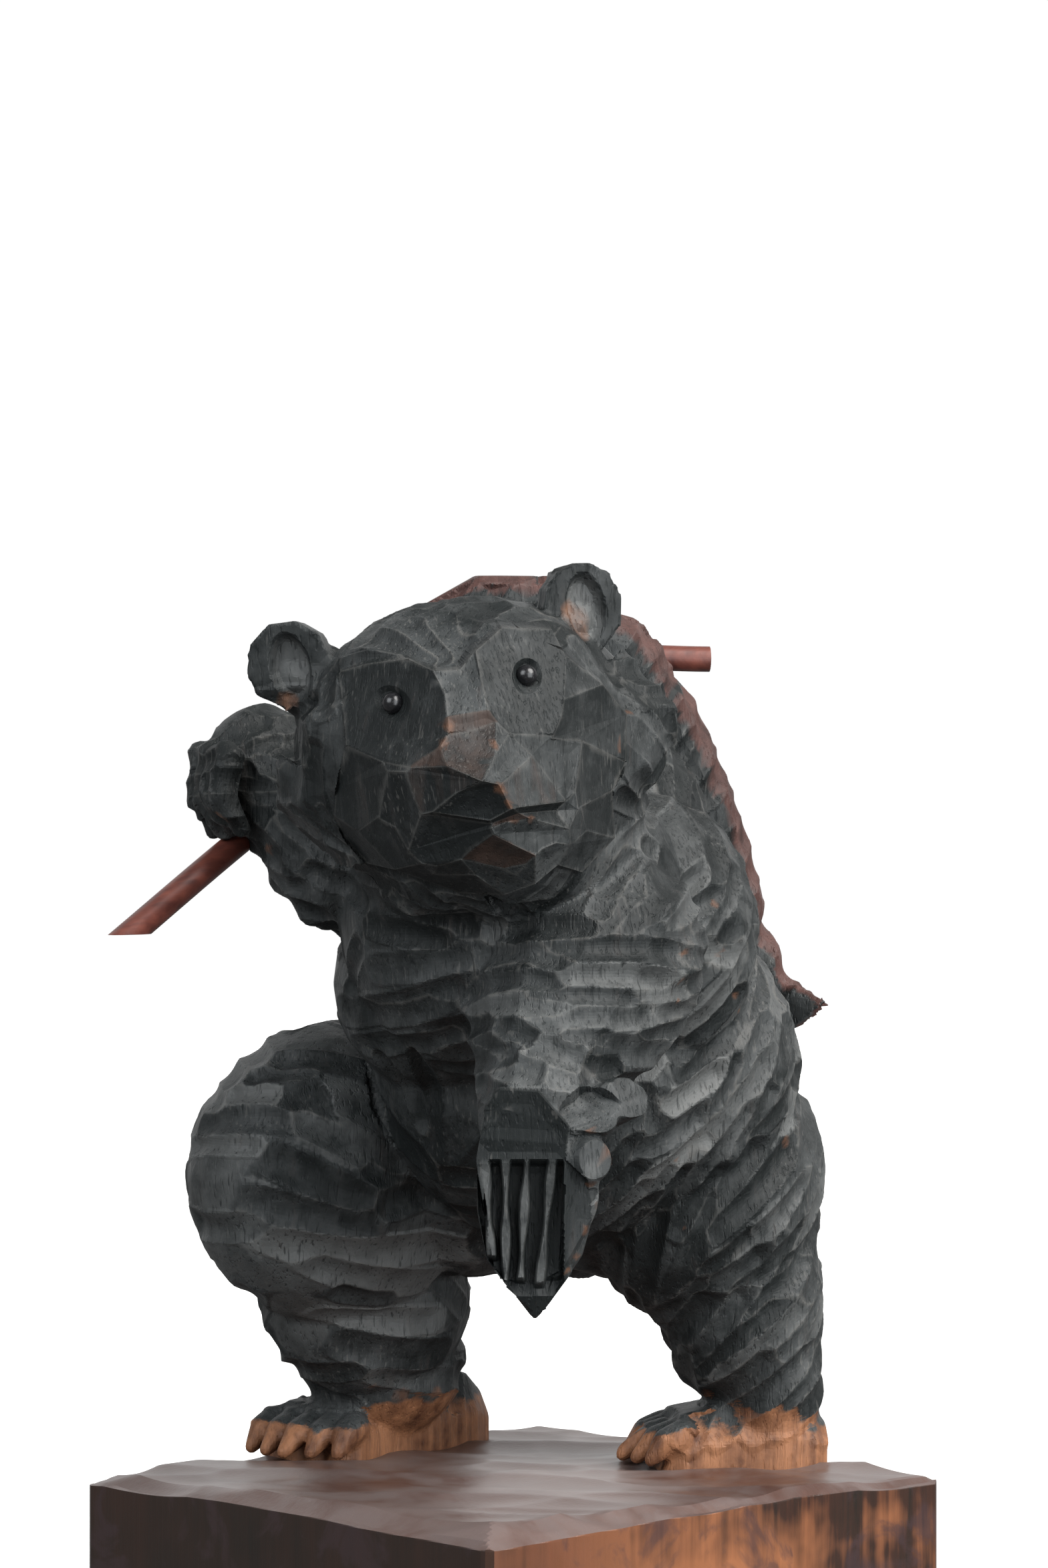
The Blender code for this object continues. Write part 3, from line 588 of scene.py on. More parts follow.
seen = {
    # gouge strokes: from x, y to x, y in the photograph's pixels, then width and depth in millimetres
    "skull": [
        (552, 955, 656, 988, 6, 2.2), (498, 1006, 606, 980, 4.6, 1.8), (482, 1062, 556, 1002, 4.6, 1.6),
        (612, 934, 668, 990, 6, 2), (598, 926, 668, 906, 5, 1.6), (655, 926, 706, 986, 7, 2),
        (682, 956, 746, 902, 7, 1.8), (668, 905, 748, 898, 5, 1.4), (752, 926, 850, 932, 5.5, 1.6),
        (850, 955, 946, 1062, 5, 1.6), (872, 950, 1004, 1096, 5.5, 1.8), (700, 1000, 668, 1052, 7, 0.8),
    ],
    "ruff": [
        (1008, 1106, 956, 1196, 5, 2), (992, 1166, 940, 1262, 6, 2.2), (952, 1262, 894, 1376, 6, 2.4),
        (872, 1296, 806, 1380, 3.6, 1.6), (838, 1310, 766, 1352, 6, 1.6), (676, 1352, 742, 1424, 6, 2),
        (436, 1202, 532, 1282, 3.8, 1.8), (484, 1214, 600, 1350, 3.8, 1.8), (524, 1250, 604, 1340, 3, 1.4),
        (414, 1222, 504, 1286, 3.6, 1.6), (600, 1300, 690, 1360, 5, 1.8),
    ],
    "ears": [
        (812, 936, 846, 852, 7.5, 1.4), (928, 958, 908, 876, 3.6, 1), (384, 1088, 386, 958, 4.4, 1.2),
        (496, 1046, 480, 944, 7, 1.4), (404, 944, 474, 932, 4.6, 1),
    ],
    "rightArm": [
        (308, 1128, 408, 1080, 6, 2), (312, 1146, 420, 1106, 4.6, 1.8), (296, 1172, 424, 1162, 6.5, 1.8),
        (306, 1206, 420, 1196, 6, 1.8), (386, 1292, 512, 1272, 6.5, 2), (400, 1322, 548, 1306, 6.5, 2),
        (438, 1362, 606, 1346, 6.5, 2), (492, 1402, 644, 1388, 6.5, 2), (524, 1486, 540, 1412, 6, 2),
        (560, 1450, 700, 1430, 7, 2), (516, 1512, 664, 1494, 7, 2), (540, 1562, 692, 1546, 6, 2),
        (560, 1504, 700, 1470, 6, 2),
    ],
    "leftArm": [
        (748, 1446, 1026, 1424, 6, 2.6), (738, 1482, 1012, 1476, 5.6, 2.4), (700, 1524, 856, 1512, 6.5, 2),
        (800, 1530, 984, 1516, 6, 2.2), (690, 1576, 836, 1566, 6.5, 2), (836, 1574, 1018, 1568, 6.8, 2.2),
        (760, 1398, 900, 1390, 6, 2), (866, 1418, 960, 1320, 8, 1.8), (930, 1404, 1004, 1290, 8, 1.8),
        (1000, 1396, 1046, 1308, 5, 2.2), (1030, 1404, 1078, 1336, 5, 2.2), (820, 1618, 900, 1606, 6, 1.4),
    ],
    "flank": [
        (1012, 1524, 1092, 1418, 6.8, 2.4), (1016, 1572, 1110, 1478, 6, 2.4),
        (1022, 1610, 1112, 1530, 6, 2.2), (986, 1664, 1084, 1598, 6, 2.4),
        (918, 1736, 1060, 1664, 6.6, 2.4), (964, 1766, 1072, 1694, 5.6, 2),
        (1092, 1640, 1146, 1520, 6, 2), (1100, 1560, 1140, 1440, 5, 2), (1064, 1400, 1100, 1300, 5, 2),
        (1124, 1470, 1130, 1380, 5, 1.8), (1160, 1620, 1176, 1520, 6, 2), (1060, 1680, 1110, 1580, 5, 2),
        (1100, 1720, 1160, 1620, 6, 2), (1180, 1700, 1190, 1610, 5, 2),
    ],
    "pads": [(908, 1646, 966, 1660, 5, 0.7), (846, 1668, 922, 1688, 4, 0.7)],
    "belly": [
        (940, 1812, 1010, 1740, 5, 1.8), (966, 1846, 1030, 1746, 5, 2), (1010, 1846, 1086, 1744, 5, 2),
        (930, 1860, 968, 1794, 5, 1.6), (1050, 1852, 1190, 1708, 6.6, 2.6), (1084, 1884, 1210, 1762, 6, 2.4),
        (1046, 1908, 1130, 1846, 5.6, 2), (1100, 1930, 1206, 1830, 6, 2), (1110, 1976, 1206, 1880, 6, 2),
    ],
    "thigh": [
        (654, 1722, 616, 1570, 5, 2.2), (636, 1684, 562, 1572, 6, 2.4), (640, 1740, 486, 1634, 8, 2.4),
        (600, 1752, 440, 1668, 8, 2.2), (548, 1800, 404, 1732, 8, 2.2), (560, 1834, 372, 1796, 8, 2.2),
        (620, 1790, 548, 1740, 6, 1.8), (700, 1826, 570, 1800, 7, 2), (690, 1870, 412, 1856, 8, 2.2),
        (640, 1916, 462, 1884, 8, 2.2), (590, 1938, 500, 1930, 6, 1.8), (650, 1974, 480, 1964, 6, 2.2),
        (660, 2022, 510, 2010, 8, 2.4), (440, 1682, 306, 1684, 6.6, 2.4), (386, 1716, 290, 1716, 4.6, 2),
        (374, 1770, 280, 1766, 8, 2.6), (396, 1830, 292, 1826, 7, 2.4), (410, 1868, 304, 1868, 5, 2.2),
        (450, 1910, 326, 1908, 6.6, 2.2), (480, 1950, 352, 1956, 6, 2.2), (500, 1990, 396, 1996, 6, 2),
        (540, 2046, 436, 2040, 6.6, 2), (420, 1640, 340, 1644, 5, 2), (470, 1606, 372, 1616, 5, 2),
        (540, 1590, 410, 1590, 6, 2.2), (680, 2060, 560, 2056, 6, 1.6), (690, 1960, 660, 1910, 6, 1.6),
    ],
    # bare or rubbed wood: x, y and reach in pixels
    "rubbed": [
        (868, 926, 26), (856, 914, 18), (878, 944, 16), (428, 1052, 18), (404, 1056, 14), (662, 1112, 12),
        (735, 1110, 12), (745, 1182, 12), (762, 1200, 10), (772, 1228, 9), (795, 1222, 8), (838, 1190, 10),
        (826, 1164, 8), (672, 1084, 10), (905, 1722, 14), (912, 1745, 10), (884, 1770, 9), (885, 1800, 10),
        (874, 1840, 10), (860, 1878, 9), (846, 1900, 8), (884, 1690, 10), (1072, 1352, 9), (1086, 1426, 9),
        (1106, 1490, 9), (1108, 1512, 9), (1020, 1470, 8), (1180, 1708, 11), (334, 1222, 14), (396, 1272, 12),
        (942, 1066, 8), (926, 1118, 8), (802, 1946, 7), (1028, 1428, 8), (1016, 1736, 7), (976, 1838, 6),
        (1024, 1838, 6), (600, 2090, 18), (560, 2075, 12), (650, 2084, 14), (690, 2100, 16), (1016, 1500, 7),
    ],
}


def seenStrokes(tree):
    strokes = []
    for area in ("skull", "ruff", "ears", "rightArm", "leftArm", "pads", "flank", "belly", "thigh"):
        for startX, startY, endX, endY, width, depth in seen[area]:
            start, end = (seenOnSkin(tree, x, y)[0] for x, y in ((startX, startY), (endX, endY)))
            if start is None or end is None:
                continue
            place, normal = tree.find_nearest((start + end) / 2)[:2]
            along = end - start
            length = along.length
            along = (along - normal * along.dot(normal)).normalized()
            across = normal.cross(along)
            vectors = [np.array(item) for item in (place, normal, along, across)]
            strokes.append(vectors + [width, length, depth])
    return strokes


def rubbedShare(tree, places):
    # how near every point is to one of the bare patches
    share = np.zeros(len(places))
    pixel = (Vector(view["place"]) - Vector(head["place"])).length / view["focal"]
    for x, y, reach in seen["rubbed"]:
        spot = seenOnSkin(tree, x, y)[0]
        if spot is None:
            continue
        distance = np.linalg.norm(places - np.array(spot), axis=1)
        share = np.maximum(share, np.clip(1.5 - distance / (reach * pixel), 0, 1))
    return share


# Gouge strokes: (place, normal, along, across, width, length, depth)

gouges = {
    # where on the figure, reach, lie of the strokes in degrees, width, length, depth
    "regions": [
        ((-34, -24, 62), 38, 4, 7, 22, 2.2),
        ((-42, -8, 26), 26, -4, 6.5, 20, 2.1),
        ((-20, 0, 98), 20, -40, 6.5, 19, 2.1),
        ((56, -34, 112), 22, 6, 6, 26, 2.3),
        ((60, -52, 92), 13, -10, 6.5, 13, 2),
        ((30, -28, 128), 26, -20, 6.4, 20, 2.2),
        ((44, 6, 118), 26, 52, 6.4, 30, 2.3),
        ((40, 22, 88), 30, 45, 6.8, 32, 2.3),
        ((26, 24, 62), 24, 62, 6.4, 26, 2.2),
        ((26, 44, 44), 26, 42, 6.4, 25, 2.1),
        ((-4, -47, 134), 22, -30, 6.2, 18, 2.1),
        ((-25, -55, 154), 12, 10, 6.5, 13, 1.8),
        ((-10, 62, 80), 34, 75, 7, 30, 2.3),
        ((-30, 20, 110), 34, 60, 7, 30, 2.3),
    ],
    # where the charring is thinner or thicker, with painted light on the lit flank, shoulder, thigh and back
    # of the head and painted shade on the chest between the arms, in front of the right arm and under the
    # belly: place, reach and how much paler
    "ashesAndShade": [
        ((52, 8, 104), 34, 0.4), ((44, 14, 74), 30, 0.4), ((30, 40, 50), 24, 0.1), ((60, -26, 116), 22, 0.25),
        ((-30, -30, 66), 34, 0.95), ((-28, -24, 34), 24, 0.35), ((30, -46, 176), 24, 0.5),
        ((-4, -84, 150), 26, -0.8), ((6, -30, 66), 24, -0.8), ((20, -4, 30), 22, -0.6),
    ],
    "seed": 11,
    "lowest": 13,
    "faceStart": 9,
    "brow": 15,
    "pawReach": 17,
    "pawTop": 84,
    "headStroke": (8, 14, 1.8),
    "earReach": 11.5,
    "lift": 0.8,
    "evening": 1,
    "spread": 0.6,
    # the range of random painted shade given to each cut, from darker to paler, as if each cut caught the
    # light its own way
    "cutShading": (-0.8, 0.55),
    "padReach": 6,
    "headLie": (40, 140),
    "sway": 11,
    "widths": (0.82, 1.2),
    "lengths": (0.8, 1.2),
    "depths": (0.85, 1.15),
    # how near two strokes may lie, as shares of their width and length, and through the wood
    "apart": (0.74, 0.66, 9),
    "halfLength": 0.62,
    "flattest": 0.25,
}


def headNearness(places):
    local = (places - np.array(headPoint(*head["strokeMiddle"]))) @ np.array(headAxes())
    wide, deep, high = head["strokeReach"]
    return np.sqrt((local[:, 0] / wide) ** 2 + (local[:, 1] / deep) ** 2 + (local[:, 2] / high) ** 2)


def salmonNearness(places):
    # below 1 on the salmon, worked out from its rings
    best = np.full(len(places), 9.0)
    frames = salmonFrames()
    for (start, along, outward, across, high, thick), following in zip(frames, frames[1:]):
        for share in (0.0, 0.5):
            offset = places - np.array(start.lerp(following[0], share))
            wideReach = high + (following[4] - high) * share + salmon["margin"]
            outReach = thick + (following[5] - thick) * share + salmon["margin"]
            out = offset @ np.array(outward)
            near = (offset @ np.array(across) / wideReach) ** 2 + (out / outReach) ** 2
            near = np.sqrt(near + (offset @ np.array(along) / 8) ** 2)
            best = np.minimum(best, np.where(out < -0.35 * outReach, 9.0, near))
    return best


def lieOfStroke(normal, degrees):
    level = np.cross((0, 0, 1), normal)
    size = np.linalg.norm(level)
    level = np.array((1.0, 0, 0)) if size < 0.05 else level / size
    angle = math.radians(degrees)
    return level * math.cos(angle) + np.cross(normal, level) * math.sin(angle)


def layStrokes(layout, tree):
    # the strokes that the photograph shows, then others spread over the skin,
    # so that none starts inside another
    strokes = seenStrokes(tree)
    places, normals = meshArrays(layout)
    chooser = random.Random(gouges["seed"])
    order = list(range(len(places)))
    chooser.shuffle(order)
    nearHead = headNearness(places)
    fromHead = onHeadAxes(places)
    fromPaw = np.linalg.norm((places - np.array(paw["place"]))[:, :2], axis=1)
    nearSalmon = salmonNearness(places)
    spots = np.array([region[0] for region in gouges["regions"]], dtype=float)
    reach = np.array([region[1] for region in gouges["regions"]], dtype=float)
    pads = [np.array(pawPoint(*pad[0])) for pad in paw["pads"]]
    nearPad = np.min([np.linalg.norm(places - pad, axis=1) for pad in pads], axis=0)
    ears = [np.array(headPoint(*spot)) for spot in head["ears"]]
    nearEar = np.min([np.linalg.norm(places - spot, axis=1) for spot in ears], axis=0)
    taken, alongs, acrosses = (np.zeros((len(order) + len(strokes), 3)) for _ in range(3))
    sizes = np.zeros((len(order) + len(strokes), 2))
    used = len(strokes)
    apartAcross, apartAlong, apartDeep = gouges["apart"]
    for number, (place, _, along, across, width, length, _) in enumerate(strokes):
        taken[number], alongs[number], acrosses[number], sizes[number] = place, along, across, (width, length)
    for number in order:
        place = places[number]
        if place[2] < gouges["lowest"] or nearSalmon[number] < 1.05 or nearEar[number] < gouges["earReach"]:
            continue
        if fromPaw[number] < gouges["pawReach"] and place[2] < gouges["pawTop"]:
            continue
        if nearPad[number] < gouges["padReach"]:
            continue
        normal = normals[number]
        if nearHead[number] < 1.0:
            if fromHead[number, 1] > gouges["faceStart"] and fromHead[number, 2] < gouges["brow"]:
                continue
            angle = chooser.uniform(*gouges["headLie"])
            width, length, depth = gouges["headStroke"]
        else:
            weight = np.exp(-((place - spots) ** 2).sum(axis=1) / reach ** 2)
            _, _, angle, width, length, depth = gouges["regions"][int(weight.argmax())]
            angle += chooser.uniform(-gouges["sway"], gouges["sway"])
        width *= chooser.uniform(*gouges["widths"])
        length *= chooser.uniform(*gouges["lengths"])
        along = lieOfStroke(normal, angle)
        across = np.cross(normal, along)
        if used:
            offset = taken[:used] - place
            meanWidth = (sizes[:used, 0] + width) / 2
            meanLength = (sizes[:used, 1] + length) / 2
            beside = (offset * (acrosses[:used] + across)).sum(axis=1) / 2
            ahead = (offset * (alongs[:used] + along)).sum(axis=1) / 2
            gap = (beside / (apartAcross * meanWidth)) ** 2 + (ahead / (apartAlong * meanLength)) ** 2
            gap += (offset @ normal / apartDeep) ** 2
            if gap.min() < 1:
                continue
        taken[used], alongs[used], acrosses[used] = place, along, across
        sizes[used] = (width, length)
        used += 1
        depth *= chooser.uniform(*gouges["depths"])
        strokes.append((place, normal, along, across, width, length, depth))
    return strokes


def evened(piece, values, passes):
    # takes the small steps of the skin's grain out of a value
    ends = np.empty(len(piece.data.edges) * 2, dtype=np.int64)
    piece.data.edges.foreach_get("vertices", ends)
    ends = ends.reshape(-1, 2)
    count = np.bincount(ends.ravel(), minlength=len(values))
    for _ in range(passes):
        total = np.bincount(ends[:, 0], values[ends[:, 1]], len(values))
        total += np.bincount(ends[:, 1], values[ends[:, 0]], len(values))
        values = 0.5 * values + 0.5 * total / np.maximum(count, 1)
    return values


def gouge(piece, places, normals, strokes):
    # every point goes down to the deepest scoop above it, so that ridges stand between scoops
    deepest = np.zeros(len(places))
    second = np.zeros(len(places))
    patch = np.zeros(len(places))
    chooser = random.Random(gouges["seed"])
    for place, normal, along, across, width, length, depth in strokes:
        reach = gouges["halfLength"] * length + 1
        near = np.flatnonzero(np.abs(places - place).max(axis=1) < reach)
        offset = places[near] - place
        u = (offset @ across) / (gouges["spread"] * width)
        v = (offset @ along) / (gouges["halfLength"] * length)
        facing = normals[near] @ normal
        trough = depth * (1 - u * u) * np.minimum(np.minimum(0.85 + 0.25 * v, 3 * (1 - v)), 2 * (1 + v) + 0.1)
        trough[(np.abs(v) > 1) | (np.abs(u) > 1) | (facing < gouges["flattest"])] = 0
        before = deepest[near]
        # each cut gets its own random painted shade, darker to paler, as if it caught the light its own way
        patch[near[trough > before]] = chooser.uniform(*gouges["cutShading"])
        second[near] = np.maximum(second[near], np.minimum(before, trough))
        deepest[near] = np.maximum(before, trough)
    worked = np.clip(deepest / 0.4, 0, 1)
    ridge = np.clip(1 - (deepest - second) / 0.45, 0, 1) * worked
    sunk = evened(piece, deepest - gouges["lift"] * worked, gouges["evening"])
    return places - normals * sunk[:, None], ridge, deepest, patch


face = {
    # corners of the knife cuts: pixels across and down the photograph, and how far forward on the head
    "corners": {
        "e1": (507, 1006, 8), "e2": (550, 994, 14), "e3": (610, 986, 20), "e4": (648, 1004, 25),
        "b4": (666, 1038, 30.5), "b1": (670, 1073, 36.5), "s1": (672, 1098, 35.8), "t1": (658, 1118, 38),
        "t7": (614, 1149, 38.5), "r3": (572, 1140, 20), "r2": (518, 1116, 10), "r1": (514, 1064, 9),
        "e5": (688, 1002, 25.5), "e6": (711, 974, 24), "b3": (719, 1015, 30.5), "b2": (731, 1063, 36.5),
        "e7": (751, 939, 19.5), "e8": (826, 942, 16.5), "e9": (847, 982, 18.5), "e10": (844, 1046, 24),
        "e11": (840, 1073, 26.5), "e12": (826, 1105, 29.5), "h1": (827, 1101, 30.5),
        "v1": (762, 1098, 34.5), "s3": (743, 1080, 35.5), "s2": (701, 1095, 36), "t3": (742, 1128, 40.5),
        "t4": (722, 1169, 47), "t6": (669, 1147, 44), "v2": (796, 1131, 35.5), "v3": (750, 1174, 46),
        "v5": (847, 1199, 34.5), "v4": (768, 1209, 45), "n1": (682, 1187, 44), "n2": (647, 1215, 40.5),
        "n3": (630, 1219, 37.5), "p2": (607, 1155, 36), "n4": (733, 1228, 44.5), "m2": (832, 1212, 31),
        "m1": (776, 1217, 41), "m3": (736, 1232, 41.2), "m4": (653, 1220, 36.5), "l3": (852, 1240, 31.5),
        "l2": (793, 1225, 40.5), "l1": (754, 1232, 43.2), "l0": (734, 1240, 43.5), "l8": (854, 1264, 32),
        "l7": (832, 1261, 35), "l6": (811, 1270, 37.3), "l5": (801, 1280, 38.3), "l4": (737, 1249, 43),
        "j1": (788, 1293, 37), "j2": (754, 1300, 36.6), "j3": (690, 1286, 36), "j4": (703, 1273, 38.5),
        "j5": (772, 1309, 35.2), "j9": (835, 1294, 31), "j6": (800, 1323, 31.5), "j7": (754, 1339, 28),
        "j8": (711, 1309, 31), "q4": (655, 1296, 31), "q2": (631, 1292, 30), "q1": (611, 1273, 30.5),
        "q3": (648, 1308, 28.5), "c5": (871, 1109, 24), "h2": (861, 1185, 29.5), "c1": (902, 1024, 13),
        "c2": (938, 1069, 8.5), "c3": (936, 1140, 8), "c4": (916, 1183, 13), "c6": (869, 1207, 26),
        "h3": (865, 1211, 29), "c9": (878, 1243, 22), "c7": (920, 1254, 12), "c8": (871, 1305, 18),
        "p1": (580, 1154, 29), "p4": (592, 1238, 27.5), "p3": (567, 1225, 25), "k1": (503, 1180, 9),
        "k5": (568, 1221, 24), "k4": (536, 1244, 18), "k3": (501, 1221, 10), "k9": (590, 1301, 16),
        "k11": (692, 1337, 20), "k13": (550, 1292, 10), "k14": (514, 1252, 4),
    },
    # each cut is a flat facet between its corners
    "facets": {
        "rightEye": "e1 e2 e3 e4 b4 b1 s1 t1 t7 r3 r2 r1",
        "bridge": "e4 e5 e6 b3 b2 b1 b4",
        "leftEye": "e6 e7 e8 e9 e10 e11 e12 h1 v1 s3 b2 b3",
        "underBridge": "b1 b2 s3 s2 s1",
        "noseTop": "s1 s2 s3 t3 t4 t6 t1",
        "noseSide": "t1 t6 t7",
        "besideNose": "s3 v1 t3",
        "nostril": "v1 v2 v3 t4 t3",
        "upperLip": "v2 v5 v4 v3",
        "noseFront": "t7 t6 t4 n1 n2 n3 p2",
        "noseUnder": "n1 t4 v3 v4 n4 n2",
        "mouthRoofRight": "v4 v5 m2 m1",
        "mouthRoofMid": "n4 v4 m1 m3",
        "mouthRoofLeft": "n2 n4 m3 m4",
        "lipRight": "m1 m2 l3 l2",
        "lipMid": "m3 m1 l2 l1 l0",
        "lipLeft": "n3 n2 m4",
        "lowerLip": "l0 l1 l2 l3 l8 l7 l6 l5 l4",
        "jawBrown": "l4 l5 j1 j2 j3 j4",
        "jawSmall": "j2 j1 j5",
        "chinRight": "l5 l6 l7 l8 j9 j6",
        "jawFront": "j3 j2 j5 j1 l5 j6 j7 j8",
        "jawLeft": "n3 m4 m3 l0 l4 j4 j3 q4 q2 q1",
        "jawLit": "q2 q4 q3",
        "jawUnder": "q4 j3 j8 q3",
        "cheekLeft1": "e12 c5 h2 v5 v2 v1 h1",
        "cheekLeft2": "e10 c1 c2 c3 c5 e12 e11",
        "cheekLeft3": "e9 c1 e10",
        "cheekLeft4": "c3 c4 c6 h3 h2 c5",
        "cheekLeft5": "h2 h3 l3 m2 v5",
        "cheekLeft6": "h3 c6 c9 l8 l3",
        "cheekLeft7": "c4 c7 c9 c6",
        "cheekLeft8": "c9 c7 c8 j9 l8",
        "cheekRight1": "r3 t7 p2 p1",
        "cheekRight2": "p1 p2 n3 q1 p4 p3",
        "cheekRight3": "k1 r2 r3 p1 p3 k5 k4 k3",
        "cheekRight4": "p3 p4 q1 q2 k9 k4 k5",
        "under1": "k9 q2 q3 j8 j7 k11",
        "cheekRight5": "k3 k4 k9 k13 k14",
    },
    # these corners keep their depth, and the others settle so that the facets come out flat
    "kept": "m1 m2 m3 m4 e12",
    "settling": 60,
    # how dark or pale each cut is painted: painted shade on the facets that face away from the light, under
    # the nose and in the mouth, and painted light on the lit ones, partly the face's own charring; and how
    # brown each cut is
    "facetShades": {
        "rightEye": -0.9, "bridge": 0.15, "leftEye": -0.55, "underBridge": -0.8, "noseTop": -0.5,
        "noseSide": -0.9, "besideNose": -0.2, "nostril": 0, "upperLip": 0.1, "noseFront": -1.2,
        "noseUnder": -1.2, "mouthRoofRight": -1, "mouthRoofMid": -1, "mouthRoofLeft": -1,
        "lipRight": -0.5, "lipLeft": -0.8, "lowerLip": 0.15, "jawBrown": -0.4, "jawSmall": 0.1,
        "chinRight": 0.3, "jawFront": -0.2, "jawLeft": -0.8, "jawLit": 0.2, "jawUnder": -0.7,
        "cheekLeft2": -0.5, "cheekLeft4": -0.9, "cheekLeft7": -0.9, "cheekRight1": -1.1,
        "cheekRight2": -1.3, "cheekRight3": -1.2, "cheekRight4": -1.3, "cheekRight5": -1.1,
        "under1": -0.6,
    },
    "tans": {
        "underBridge": 0.5, "noseTop": 0.3, "noseSide": 0.5, "lipMid": 0.6, "jawBrown": 0.45,
        "upperLip": 0.15, "noseFront": 0.15,
    },
    "dish": 0.45,
    "flatness": 0.4,
    "edgeReach": 0.25,
    "depthReach": 14,
    # where smaller faces are made, and where the flat cuts reach
    "fineBox": ((-32, 4, -37), (40, 60, 22)),
    "reachBox": ((-40, 2, -40), (40, 60, 26)),
}


def cornerAt(name, depth):
    x, y, _ = face["corners"][name]
    axes = headAxes()
    spot = seenOnPlane(x, y, headPoint(0, depth, 0), axes.col[1])
    return np.array(axes.transposed() @ (spot - Vector(head["place"])))


def settledCorners():
    # each facet pulls its corners towards one plane, and each corner takes the mean
    facets = [names.split() for names in face["facets"].values()]
    depths = {name: corner[2] for name, corner in face["corners"].items()}
    for _ in range(face["settling"]):
        pulls = {name: [0.15 * face["corners"][name][2], 0.15] for name in depths}
        corners = {name: cornerAt(name, depth) for name, depth in depths.items()}
        for names in facets:
            flat = np.array([(corners[name][0], corners[name][2], 1) for name in names])
            forward = np.array([corners[name][1] for name in names])
            plane = np.linalg.lstsq(flat, forward, rcond=None)[0]
            for name, depth in zip(names, flat @ plane):
                pulls[name][0] += depth
                pulls[name][1] += 1
        for name, (total, count) in pulls.items():
            if name not in face["kept"].split():
                depths[name] = (depths[name] + total / count) / 2
    return {name: cornerAt(name, depth) for name, depth in depths.items()}


def refineFace(piece):
    # smaller faces where the knife cuts the head and the paw
    places = meshArrays(piece)[0]
    local = onHeadAxes(places)
    low, high = face["fineBox"]
    onFace = (local > low).all(axis=1) & (local < high).all(axis=1)
    fromPaw = places - np.array(paw["place"])
    onPaw = np.abs(fromPaw @ np.array(paw["side"])) < paw["fineHalf"]
    onPaw &= fromPaw @ np.array(paw["face"]) > 0
    onPaw &= (places[:, 2] > paw["fineLevels"][0]) & (places[:, 2] < paw["fineLevels"][1])
    pickOnly(piece)
    bpy.ops.object.mode_set(mode="EDIT")
    bpy.ops.mesh.select_all(action="DESELECT")
    bpy.ops.object.mode_set(mode="OBJECT")
    chosen = onFace | onPaw
    for polygon in piece.data.polygons:
        polygon.select = bool(chosen[list(polygon.vertices)].all())
    bpy.ops.object.mode_set(mode="EDIT")
    bpy.ops.mesh.subdivide(number_cuts=1)
    bpy.ops.object.mode_set(mode="OBJECT")


def carveFace(places, normals):
    # the front of the head is cut flat between the corners of each facet
    axes = np.array(headAxes())
    forward = normals @ axes[:, 1]
    cuts = cutFacets(onHeadAxes(places), forward, settledCorners(), face["facets"], *face["reachBox"])
    local, cut, edge, which = cuts
    places[cut] = np.array(head["place"]) + local[cut] @ axes.T
    # painted shade and painted light, facet by facet
    tone = np.zeros(len(places))
    tan = np.zeros(len(places))
    # each facet takes its painted shade, painted light and brown
    for number, name in enumerate(face["facets"]):
        tone[which == number] = face["facetShades"].get(name, 0)
        tan[which == number] = face["tans"].get(name, 0)
    return places, cut.astype(float), tone, tan, edge


